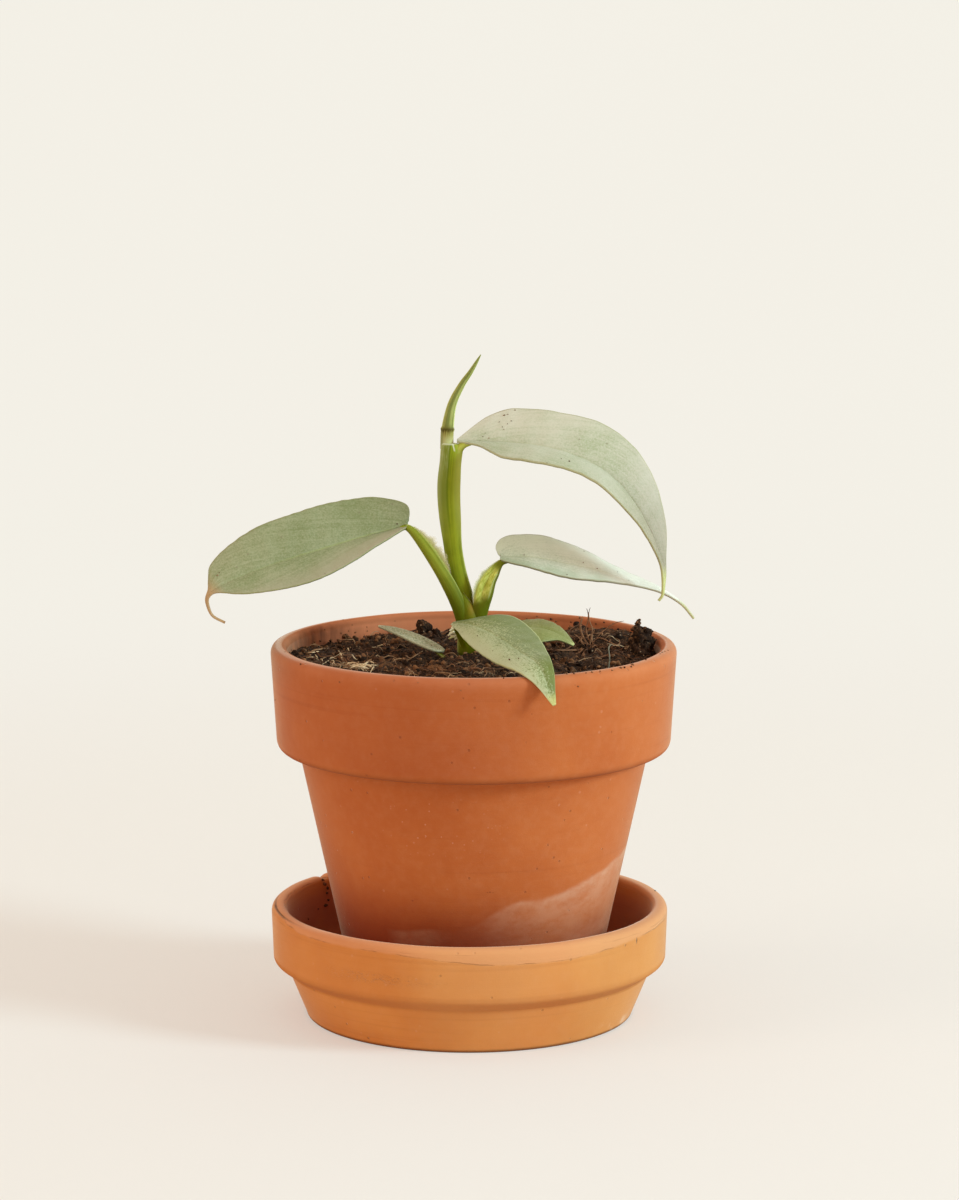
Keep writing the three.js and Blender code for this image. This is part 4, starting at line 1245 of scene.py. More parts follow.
def straw_rows(eye):
    """Short bits of straw and shavings, laid where the eye meets the soil behind the front rim."""
    rng = random.Random(STRAW_SEED)
    rows = []
    for (u, v), (wide, high), count, kinds in STRAW:
        for _ in range(count):
            spot = (u + rng.gauss(0, wide), v + rng.gauss(0, high))
            if not eye.reaches(*spot):
                continue
            middle = eye.touch(*spot)[0] / MM
            away = math.hypot(middle.x - POT_CENTRE_X / MM, middle.y)
            if away > STRAW_REACH or middle.z > STRAW_TOP:
                continue
            heading, bend, half = rng.random() * 2 * math.pi, rng.gauss(0, 0.35), 0.6 + 1.5 * rng.random()
            lift = 0.35 + 0.6 * rng.random()
            line = []
            for t in (-1, -0.5, 0, 0.5, 1):
                turn = heading + bend * t
                x, y = middle.x + half * t * math.cos(turn), middle.y + half * t * math.sin(turn)
                line.append((x, y, ground(x - POT_CENTRE_X / MM, y) + lift * (1 - 0.5 * t * t)))
            rows.append((line, 0.09 + 0.10 * rng.random(), rng.choice(kinds)))
    return rows


def make_roots(eye, finishes):
    """Root threads that stand up from the soil, the larger strands laid on it and the straw."""
    rows = straw_rows(eye)
    for points, radius, kind in STANDING_ROOTS + LAID_STRANDS:
        foot, _ = eye.touch(*points[0])
        standing = (points, radius, kind) in STANDING_ROOTS
        line = []
        for k, (u, v) in enumerate(points):
            if standing:
                line.append(at_depth(u, v, foot.y / MM - 0.4 * k))
            else:
                place, _ = eye.touch(u, v)
                lift = 0.25 + 0.35 * math.sin(math.pi * k / (len(points) - 1))
                line.append(tuple(place / MM + Vector((0, 0, lift))))
        if standing:
            line.insert(0, (line[0][0], line[0][1], line[0][2] - 0.8))
        smooth = smooth_line(line, 14)
        rows.append(([tuple(p) for p in smooth], radius, kind))
    place_piece("root_threads", tube_mesh("root_threads", rows, finishes, 1), "soil")


# Loose crumbs on the clay and on the leaves, by points of the picture, with half size in mm
WALL_CRUMBS = [
    (324.7, 629.5, 0.30), (343, 620, 0.16), (352, 625, 0.20), (345.8, 635, 0.75), (343.5, 636.5, 0.8),
    (347.5, 638.5, 0.9), (354, 637, 0.8), (356.5, 639, 0.7), (351, 640, 0.7), (366.8, 627, 0.25),
    (367.2, 631, 0.25), (366.8, 638.5, 0.9), (363, 640, 0.6), (377, 637, 0.7), (382, 635.5, 0.6),
    (395, 621, 0.2), (379, 636.5, 0.8), (389, 637, 0.6), (331, 640, 0.35), (338, 640, 0.6), (341, 633, 0.3),
    (348.5, 631, 0.25), (355, 632.5, 0.3), (320, 641, 0.4), (314, 642, 0.45), (385, 638, 0.7),
    (522, 620.5, 0.35), (527, 619, 0.25), (538, 619.5, 0.35), (545, 620, 0.3), (551, 619, 0.4),
    (556, 621.5, 0.3), (537, 616.5, 0.25), (580, 618, 0.45), (596, 624, 0.35), (613, 624, 0.3),
    (571, 622, 0.3), (604, 622.5, 0.3), (328, 900, 0.5), (325, 905, 0.6), (327, 888, 0.6), (324, 884, 0.7),
    (326.5, 893, 0.55), (322.5, 880, 0.6), (308, 919, 0.35), (318, 909, 0.3), (300.9, 664.3, 0.30),
    (339.5, 682, 0.22), (418, 682.8, 0.20), (460.8, 690.5, 0.22), (578, 686.3, 0.30), (503.7, 678.6, 0.22),
    (620.8, 668.2, 0.45), (624.5, 667.8, 0.35), (632.8, 665.2, 0.45), (631, 667, 0.3), (640, 660.5, 0.35),
    (646, 660, 0.25), (662, 652.5, 0.25), (665, 651.5, 0.2), (668, 650.5, 0.2), (660, 654, 0.2),
    (612, 670.5, 0.3), (600, 671.5, 0.28), (592, 672.6, 0.32), (586, 673.2, 0.28), (574, 674, 0.3),
    (567, 674.3, 0.26), (647, 657.5, 0.3), (298, 648, 0.35), (291, 650, 0.2), (285, 652, 0.18),
    (275.5, 700, 0.2), (575, 685, 0.14), (300, 760, 0.14), (490, 892, 0.18), (487.5, 892.4, 0.10),
    (493, 892.6, 0.09), (655, 891, 0.25),
]
LEAF_CRUMBS = [
    (510, 661, 0.26), (519, 660, 0.13), (502, 641, 0.14), (497, 637, 0.10), (478, 637, 0.13),
    (493, 652, 0.10), (218, 576, 0.20), (219.5, 573.5, 0.12), (397, 524.5, 0.18), (504.5, 416.0, 0.20),
    (508, 415.0, 0.12), (515, 410.8, 0.12), (499.5, 422.5, 0.13), (511.5, 421.5, 0.15),
    (507.5, 424.5, 0.11), (502.5, 427.5, 0.12), (504, 430, 0.10), (489, 438.5, 0.13), (483, 437, 0.10),
    (485.5, 433.5, 0.09), (480, 441, 0.08), (569, 462.6, 0.20), (561, 460, 0.11), (597, 569.5, 0.16),
    (583, 563.5, 0.12), (617, 573, 0.09), (567, 575.5, 0.12), (424, 640, 0.14), (419, 639, 0.10),
    (431, 646.5, 0.16), (437, 650, 0.12), (427, 642.5, 0.10), (439, 650, 0.12), (403, 635, 0.10),
    (413, 639.5, 0.09), (434, 645, 0.10),
]


def make_loose_crumbs(soil, effect, clay_eye, leaf_eye):
    """Soil crumbs that cling to the clay and the leaves."""
    heap = Heap()
    rng = random.Random(LOOSE_SEED)
    for eye, rows, lift in ((clay_eye, WALL_CRUMBS, 0.0), (leaf_eye, LEAF_CRUMBS, 0.36)):
        missed = [(u, v) for u, v, _ in rows if not eye.reaches(u, v)]
        if missed:
            raise RuntimeError(f"nothing carries the crumbs at {missed}")
        for k, (u, v, half) in enumerate(rows):
            place, normal = eye.touch(u, v)
            half *= 1.15 if lift else 0.8
            centre = place / MM + normal * (half * 0.35 + lift)
            size = (half * (1 + 0.5 * rng.random()), half, half * (0.6 + 0.3 * rng.random()))
            heap.lump(0.45 + 0.4 * rng.random(), centre, size, 2, 0.7, 60.3 + k)
    bm = heap.mesh_parts()
    to_metres(bm)
    finish = soil_finish(soil, effect, "loose_crumb", True)
    finish_piece("loose_crumbs", bm, finish, "soil")


# The leaves

# Midribs, side vectors towards the right margin seen along the midrib from above, half widths
# (place, left, right), folds in degrees, lobes at the base, in mm
LEAVES = {
    "leaf_top": {
        "midrib": [
            (-3.6, 5, 170.4), (9, 3.5, 170.2), (22.5, 1, 169), (34.5, -1.5, 165.2), (44, -4, 158.6),
            (51.8, -7, 147.4), (56, -9.5, 136.5), (56.4, -11, 128.2), (55.2, -11.2, 125.6),
        ],
        "side": [(0, 0, -0.72, -0.57), (0.5, -0.42, -0.75, -0.38), (1, -0.66, -0.75, 0)],
        "width": [
            (0, 0.5, 0.4), (0.02, 2.1, 0.9), (0.045, 4.3, 1.6), (0.08, 7.3, 3.0), (0.115, 9.6, 6.1),
            (0.15, 11.2, 9.0), (0.19, 12.0, 10.8), (0.3, 12.7, 12.6), (0.45, 14, 12.4), (0.6, 11.2, 12),
            (0.75, 6.5, 5.8), (0.86, 1.9, 1.6), (0.92, 0.8, 0.7), (0.96, 0.4, 0.4), (1, 0.15, 0.15),
        ],
        "fold": [(0, 30, 22), (0.3, 28, 24), (0.6, 26, 28), (1, 15, 20)],
        "curl": 0.12, "lobe": (0, 0), "grid": (44, 150), "slot": "leaf_pale", "seed": 0.0,
        "skin": {
            "Green": (0.335, 0.365, 0.198), "Silver": (0.545, 0.525, 0.385), "Blush": (0.620, 0.550, 0.425),
            "Margin": (0.440, 0.400, 0.185), "Rib": (0.56, 0.58, 0.33), "Tip": (0.520, 0.500, 0.180),
            "Far_Tint": (0.70, 0.60, 0.56),
            "Silver_Amount": 0.56, "Blush_Across": -0.9, "Blush_Along": -1.1, "Blush_Start": -0.05,
            "Rib_Strength": 0.25, "Tip_Start": 0.87,
        },
    },
    "leaf_left": {
        "midrib": [
            (-18.3, 3, 145.6), (-31, 0, 142.6), (-44.5, -4, 139.2), (-58.5, -8, 135.3), (-68.5, -11, 131.7),
            (-73.9, -13, 129.2), (-76, -14, 127), (-75.8, -14, 124.2), (-74.4, -14, 121.5),
            (-71, -14, 119.6),
        ],
        "side": [
            (0, -0.18, 0.69, 0.59), (0.35, -0.2, 0.57, 0.71), (0.6, -0.35, 0.52, 0.68),
            (1, -0.85, 0.5, 0.2),
        ],
        "width": [
            (0, 0.8, 1), (0.02, 1.5, 6.6), (0.06, 2.8, 10.2), (0.12, 4.5, 12.4), (0.27, 7.9, 13.8),
            (0.42, 9.7, 13.6), (0.57, 9, 13.0), (0.7, 6.7, 10.9), (0.755, 4.9, 9.3), (0.79, 3.1, 7.4),
            (0.82, 1.5, 3.6), (0.85, 0.6, 0.9), (0.92, 0.28, 0.28), (1, 0.15, 0.15),
        ],
        "fold": [(0, 24, 24), (0.3, 14, 14), (0.7, 9, 9), (1, 0, 0)],
        "curl": 0.12, "lobe": (0, 3.4), "grid": (44, 150), "slot": "leaf_green", "seed": 3.0,
        "skin": {
            "Green": (0.170, 0.193, 0.066), "Silver": (0.310, 0.312, 0.165), "Blush": (0.365, 0.305, 0.190),
            "Margin": (0.330, 0.320, 0.110), "Rib": (0.300, 0.330, 0.100), "Tip": (0.450, 0.260, 0.110),
            "Far_Tint": (1.16, 1.13, 1.20),
            "Silver_Amount": 0.50, "Blush_Across": -1.5, "Blush_Along": -1.3, "Blush_Start": -0.10,
            "Rib_Strength": 0.55, "Tip_Start": 0.785,
        },
    },
    "leaf_right": {
        "midrib": [
            (9.2, 3, 136.2), (18, 1.5, 136.4), (28, 0, 134.8), (38, -1.5, 132.8), (47.5, -3, 130.2),
            (56, -4, 127.3), (62, -5, 123.8), (65.8, -5.5, 119.4),
        ],
        "side": [
            (0, 0.1, -0.75, -0.52), (0.3, 0, -0.8, -0.48), (0.6, -0.1, -0.94, -0.28), (1, -0.3, -1, -0.1),
        ],
        "width": [
            (0, 1, 0.8), (0.035, 7.2, 2), (0.1, 9, 3.6), (0.25, 9.4, 5.5), (0.42, 7.8, 5.8),
            (0.58, 5.1, 3.8), (0.7, 3.6, 1.9), (0.8, 2.0, 0.8), (0.87, 0.95, 0.5), (0.94, 0.38, 0.28),
            (1, 0.15, 0.15),
        ],
        "fold": [(0, 13, 9), (0.5, 5, 3), (1, 4, 4)],
        "curl": 0.12, "lobe": (2.7, 0.5), "grid": (40, 140), "slot": "leaf_pale", "seed": 6.0,
        "skin": {
            "Green": (0.390, 0.455, 0.295), "Silver": (0.650, 0.695, 0.540), "Blush": (0.900, 0.850, 0.740),
            "Margin": (0.330, 0.290, 0.140), "Rib": (0.45, 0.50, 0.22), "Tip": (0.560, 0.530, 0.280),
            "Silver_Amount": 0.54, "Silver_Across": -0.30, "Blush_Across": 0.0, "Blush_Along": 2.0,
            "Blush_Start": -0.62,
            "Rib_Strength": 0.30, "Tip_Start": 0.86,
        },
    },
    "leaf_front": {
        "midrib": [
            (-4.9, -3, 117.4), (1, -11, 118.2), (7.6, -24, 117.3), (14.2, -40, 115.6), (19.9, -54.2, 113.6),
            (23.9, -61.8, 104.4),
        ],
        "side": [(0, -0.6, -0.6, -0.5), (0.4, -0.9, -0.35, -0.3), (1, -0.95, -0.2, -0.15)],
        "width": [
            (0, 0.6, 0.6), (0.08, 3, 3.1), (0.2, 10.4, 5.8), (0.38, 10.6, 7.6), (0.55, 8.6, 7.8),
            (0.72, 5.6, 7.2), (0.82, 3.8, 5.5), (0.88, 2.8, 3.6), (0.94, 1.6, 1.9), (1, 0.5, 0.5),
        ],
        "fold": [(0, 5, 5), (0.5, 0, 5), (1, 8, 8)],
        "curl": 0.2, "lobe": (0, 0), "grid": (44, 130), "slot": "leaf_green", "seed": 9.0,
        "skin": {
            "Green": (0.160, 0.195, 0.040), "Silver": (0.460, 0.480, 0.260), "Blush": (0.600, 0.610, 0.410),
            "Margin": (0.580, 0.560, 0.210), "Rib": (0.36, 0.43, 0.16), "Tip": (0.560, 0.540, 0.185),
            # The half of this blade that faces the sky is painted paler across it, with silver and blush: a
            # painted reflection
            "Silver_Amount": 0.48, "Silver_Across": 0.40, "Blush_Across": 0.6, "Blush_Along": 0.3,
            "Blush_Start": -0.85, "Grain": 1.5, "Rib_Strength": 0.25, "Tip_Start": 0.93,
        },
    },
    "leaf_small_right": {
        "midrib": [(9, 5, 112.4), (15, 5.5, 114.4), (21, 5, 114.6), (26.5, 4, 112.8), (30.8, 3, 109.9)],
        "side": [(0, 0.1, -0.87, -0.42), (1, -0.1, -0.87, -0.42)],
        "width": [
            (0, 0.8, 0.8), (0.12, 2.4, 5), (0.35, 4.1, 6), (0.6, 4.8, 6.3), (0.8, 3.3, 2.6), (1, 0.4, 0.4),
        ],
        "fold": [(0, 8, 8), (1, 8, 8)],
        "curl": 0.2, "lobe": (0, 0), "grid": (30, 70), "slot": "leaf_green", "seed": 12.0,
        "skin": {
            "Green": (0.260, 0.275, 0.070), "Silver": (0.450, 0.440, 0.190), "Blush": (0.560, 0.530, 0.330),
            "Margin": (0.580, 0.580, 0.210), "Rib": (0.36, 0.43, 0.14), "Tip": (0.560, 0.560, 0.200),
            "Silver_Amount": 0.42, "Blush_Start": -1.4, "Rib_Strength": 0.25, "Tip_Start": 0.93,
        },
    },
    "leaf_small_left": {
        "midrib": [(-7.5, 3, 108.1), (-12.5, 5, 109.8), (-18, 8, 111.6), (-23, 11, 113), (-27, 14, 113.7)],
        "side": [(0, 0.2, 1, 0.36), (1, 0.1, 1, 0.30)],
        "width": [
            (0, 0.5, 0.5), (0.12, 2.2, 1.9), (0.4, 2.1, 2.8), (0.7, 1.3, 2.3), (0.9, 0.6, 1.0),
            (1, 0.2, 0.2),
        ],
        "fold": [(0, 15, 15), (1, 10, 10)],
        "curl": 0.2, "lobe": (0, 0), "grid": (30, 70), "slot": "leaf_pale", "seed": 15.0,
        "skin": {
            "Green": (0.270, 0.280, 0.135), "Silver": (0.560, 0.530, 0.350), "Blush": (0.560, 0.450, 0.310),
            "Margin": (0.600, 0.590, 0.360), "Rib": (0.46, 0.46, 0.26), "Tip": (0.620, 0.600, 0.360),
            "Silver_Amount": 0.55, "Blush_Start": -0.6, "Rib_Strength": 0.25, "Tip_Start": 0.95, "Grain": 1.5,
        },
    },
}
END_CROWDING = 0.1
LOBE_PLACE = 0.02
RIB_DEPTH = 0.12
RIB_WIDTH = 0.55


def make_leaf(name, leaf, plant, effect):
    """A leaf blade: two halves folded along a grooved midrib, with slightly wavy margins."""
    track = Track(leaf["midrib"], leaf["side"])
    widths = [value_line(leaf["width"], 1), value_line(leaf["width"], 2)]
    folds = [value_line(leaf["fold"], 1), value_line(leaf["fold"], 2)]
    seed = leaf["seed"]
    frames = {}

    def warp(across, t):
        return (
            math.copysign(abs(across) ** 1.18, across),
            t - END_CROWDING * math.sin(2 * math.pi * t),
        )

    def place(part, s):
        key = round(s, 6)
        if key not in frames:
            frames[key] = (*track.frame(s), [w(s) for w in widths], [math.radians(f(s)) for f in folds])
        centre, along, across, normal, halves, tilts = frames[key]
        side = 0 if part < 0 else 1
        share = abs(part)
        width, fold = max(halves[side], 0.2), tilts[side]
        ripple = 0.22 * wander(s * 13 + seed, side * 5.0, seed) * share**2 * min(1, width / 5)
        swell = 0.16 * wander(s * 24 + seed, part * 2.5, seed + 2) * min(1, width / 5)
        frill = 1 + 0.012 * wander(s * 40, side * 7.0, seed) * share**4
        q = s / LOBE_PLACE
        back = leaf["lobe"][side] * share**1.5 * q * math.exp(1 - q)
        rise = width * (share * math.sin(fold) - leaf["curl"] * share**2) + ripple + swell
        rise -= RIB_DEPTH * math.exp(-((width * part / RIB_WIDTH) ** 2)) * min(1, width / 4)
        point = centre + across * (width * math.cos(fold) * part * frill) + normal * rise - along * back
        return point * MM

    bm = bmesh.new()
    lay_grid(bm, *leaf["grid"], warp, place)
    bm.verts.ensure_lookup_table()
    finish = leaf_finish(name + "_skin", effect, plant.vein_relief, Seed=seed, **leaf["skin"])
    piece = finish_piece(name + "_blade", bm, finish, leaf["slot"], name)
    thicken(piece, "blade", plant.blade_thickness)


# The stalks

STALKS = {
    "stem_crown": {
        "path": [
            (0.8, 4, 92), (0.6, 4, 104), (0.5, 4, 110), (0.5, 3.8, 115), (-0.5, 3.5, 119.5),
            (-2.4, 3.6, 125.5),
        ],
        "side": (1, 0, 0),
        "radii": [
            (0, 2.6, 2.6), (0.35, 3.9, 4.0), (0.53, 4.1, 4.3), (0.67, 3.8, 3.8), (0.81, 3.0, 2.6),
            (0.92, 1.7, 1.9), (1, 0.7, 0.8),
        ],
        "grid": (48, 60),
    },
    "petiole_central": {
        "path": [
            (0.2, 5.6, 113), (-1.3, 6, 122), (-4.0, 6, 133), (-5.5, 6, 146), (-6.0, 6, 157),
            (-5.0, 6, 169.6),
        ],
        "side": (1, 0, 0),
        "radii": [
            (0, 3.2, 2.8), (0.2, 3.0, 2.6), (0.35, 2.8, 2.5), (0.47, 2.7, 2.5), (0.62, 3.2, 2.5),
            (0.79, 3.4, 2.5), (0.9, 3.2, 2.4), (0.975, 3.3, 2.3), (1, 3.0, 2.0),
        ],
        "channel": (200, [(0, 0, 0), (0.3, 0.1, 0.08), (0.8, 0.12, 0.1), (1, 0.05, 0.05)]),
        "grid": (56, 150),
    },
    "petiole_neck": {
        "path": [(-4.6, 6.2, 161), (-3.7, 5.7, 166.3), (-2.0, 5.0, 169.1), (1.4, 4.3, 170.0)],
        "side": (0, -1, 0),
        "radii": [(0, 0.8, 0.8), (0.4, 1.4, 1.4), (0.72, 1.2, 1.1), (1, 0.5, 0.4)],
        "grid": (32, 40),
    },
    "petiole_left": {
        "path": [
            (0.6, 3.9, 104.5), (-1.3, 3.1, 116), (-4.7, 2.4, 125.5), (-10.4, 2.0, 135.3),
            (-17.3, 2.8, 144.5), (-21, 2.4, 144.6),
        ],
        "side": (1, 0, 0),
        "radii": [
            (0, 1.7, 1.7), (0.24, 2.2, 1.9), (0.36, 2.2, 1.8), (0.5, 2.1, 1.7), (0.62, 1.8, 1.6),
            (0.88, 1.25, 1.2), (1, 0.6, 0.6),
        ],
        "channel": (-35, [
            (0, 0, 0), (0.44, 0, 0), (0.62, 0.14, 0.22), (0.75, 0.2, 0.4), (0.88, 0, 0.1), (1, 0, 0),
        ]),
        "grid": (56, 130),
    },
    "petiole_right": {
        "path": [
            (1.8, 4.2, 106), (2.7, 3.7, 118), (4.9, 3.1, 127.5), (7.1, 3.0, 131.8), (9.3, 2.9, 134.6),
            (12, 2.8, 135.3),
        ],
        "side": (1, 0, 0),
        "radii": [
            (0, 2.0, 2.0), (0.34, 2.35, 2.3), (0.48, 2.6, 2.4), (0.62, 2.75, 2.3), (0.78, 2.1, 1.8),
            (0.86, 1.5, 1.3), (0.92, 1.0, 1.0), (1, 0.6, 0.6),
        ],
        "channel": (104, [
            (0, 0, 0), (0.46, 0, 0), (0.56, 0.36, 0.13), (0.7, 0.60, 0.20), (0.85, 0.4, 0.12), (0.93, 0, 0),
            (1, 0, 0),
        ]),
        "grid": (96, 120),
    },
    "petiole_front": {
        "path": [(0.2, 2.6, 105.0), (-1.0, 1.4, 111.0), (-3.6, -2.0, 115.7), (-3.2, -5.4, 117)],
        "side": (1, 0, 0), "radii": [(0, 2.2, 1.8), (0.4, 1.9, 1.6), (0.7, 1.1, 1), (1, 0.6, 0.6)],
        "grid": (24, 40),
    },
    "petiole_small_right": {
        "path": [(3.6, 3.6, 106.5), (6.4, 4.4, 109.4), (9, 5, 111.8), (11.6, 5.2, 112.7)],
        "side": (0, 1, 0), "radii": [(0, 0.9, 0.9), (0.7, 0.9, 0.9), (1, 0.5, 0.5)],
        "grid": (24, 36),
    },
    "petiole_small_left": {
        "path": [(-2, 3.2, 103.2), (-5, 2.8, 104.2), (-7.6, 3, 106.4), (-10.2, 4, 108.2)],
        "side": (0, 1, 0), "radii": [(0, 0.7, 0.7), (0.7, 0.6, 0.6), (1, 0.4, 0.4)],
        "grid": (24, 36),
    },
    "new_leaf": {
        "path": [
            (-6.6, 6.3, 168.0), (-6.4, 6.4, 174), (-5.1, 6.4, 181), (-2.4, 6.2, 186.6), (0.5, 6, 190.9),
            (3.4, 5.8, 195.8),
        ],
        "side": (1, 0, 0),
        "radii": [
            (0, 1.95, 1.75), (0.2, 1.85, 1.7), (0.24, 1.7, 1.6), (0.42, 1.32, 1.25), (0.55, 1.12, 1.05),
            (0.68, 0.92, 0.9), (0.82, 0.68, 0.65), (0.93, 0.42, 0.4), (1, 0.12, 0.12),
        ],
        "channel": (-70, [(0, 0, 0), (0.3, 0.25, 0.15), (0.8, 0.3, 0.15), (1, 0, 0)]),
        "grid": (48, 120),
    },
}
WING_ANGLE = 0.8
WING_SPREAD = 0.35
CHANNEL_SPREAD = 0.55
FILM_ROWS = 90
FILM_THICKNESS = 0.00012
NUB_COUNT = 13
NUB_SEED = 3


class Stalk:
    """An oval rod along a path, with a channel between two wings where the table gives one."""

    def __init__(self, row, swell=None):
        self.track = Track(row["path"], [(0, *row["side"]), (1, *row["side"])])
        self.radii = [value_line(row["radii"], 1), value_line(row["radii"], 2)]
        self.channel = row.get("channel")
        self.swell = swell
        if self.channel:
            self.angle = math.radians(self.channel[0])
            self.depth, self.wing = (value_line(self.channel[1], c) for c in (1, 2))
        self.frames = {}

    def point(self, theta, s, out=0.0):
        """A place in mm on the rod's skin, or further out."""
        key = round(s, 6)
        if key not in self.frames:
            sizes = [radius(s) for radius in self.radii]
            cut = (self.depth(s), self.wing(s)) if self.channel else (0, 0)
            self.frames[key] = (*self.track.frame(s), sizes, cut)
        centre, _, across, normal, sizes, cut = self.frames[key]
        swell = 1.0
        if self.channel:
            off = theta - self.angle
            wings = bump(off - WING_ANGLE, WING_SPREAD) + bump(off + WING_ANGLE, WING_SPREAD)
            swell += cut[1] * wings - cut[0] * bump(off, CHANNEL_SPREAD)
        if self.swell:
            swell *= self.swell(s)
        flat = across * (math.cos(theta) * (sizes[0] * swell + out))
        return centre + flat + normal * (math.sin(theta) * (sizes[1] * swell + out))


def add_stalk(bm, row, swell=None):
    """Adds a closed stalk to a mesh, in metres, its map going once round and then along."""
    stalk = Stalk(row, swell)
    made = lay_grid(
        bm, *row["grid"], lambda x, t: (x, t),
        lambda x, s: stalk.point(math.pi * (x + 1), s) * MM,
    )
    bmesh.ops.remove_doubles(bm, verts=made, dist=1e-7)
    ends = [edge for edge in bm.edges if edge.is_boundary]
    bmesh.ops.holes_fill(bm, edges=ends, sides=0)
    return stalk


def make_stalk(name, finish, *parts, swell=None):
    """One piece from one or more rods of the table; it replaces the node of the first one."""
    bm = bmesh.new()
    for key in parts:
        add_stalk(bm, STALKS[key], swell)
    bmesh.ops.recalc_face_normals(bm, faces=bm.faces)
    finish_piece(name, bm, finish, "stem", parts[0])


def make_film(name, stalk, side, start, end, reach, lean, finish):
    """A thin papery edge that stands out from a stalk's wing between two places along it."""
    bm = bmesh.new()

    def place(x, t):
        s = start + (end - start) * t
        out = (x + 1) / 2
        tear = 0.75 + 0.45 * wander(t * 9, side * 3.0, 1.0) + 0.2 * wander(t * 31, side, 4.0)
        height = reach * math.sin(math.pi * min(1, t * 1.05)) ** 0.7 * tear
        theta = stalk.angle + side * (WING_ANGLE + lean * out)
        return stalk.point(theta, s, -0.25 + out * (height + 0.25)) * MM

    lay_grid(bm, 6, FILM_ROWS, lambda x, t: (x, t), place)
    thicken(finish_piece(name, bm, finish, "stem"), "film", FILM_THICKNESS)


# Operators


class PLANT_OT_clay(Operator):
    """Turn the saucer and the pot"""

    bl_idname = "plant.clay"
    bl_label = "Pot and Saucer"

    def execute(self, context):
        clay = context.scene.plant_project.clay
        effect = clay_effect()
        make_saucer(clay, effect)
        make_pot(clay, effect)
        return {"FINISHED"}


class PLANT_OT_soil(Operator):
    """Fill the pot with crumbly soil, fibres and bark"""

    bl_idname = "plant.soil"
    bl_label = "Soil"

    def execute(self, context):
        soil = context.scene.plant_project.soil
        effect = soil_effect()
        make_soil_body(soil, effect)
        make_crumbs(soil, effect)
        make_fibres(soil, fibre_effect())
        return {"FINISHED"}


class PLANT_OT_leaves(Operator):
    """Unfold the six leaves"""

    bl_idname = "plant.leaves"
    bl_label = "Leaves"

    def execute(self, context):
        plant = context.scene.plant_project.plant
        effect = leaf_effect()
        for name, leaf in LEAVES.items():
            make_leaf(name, leaf, plant, effect)
        return {"FINISHED"}


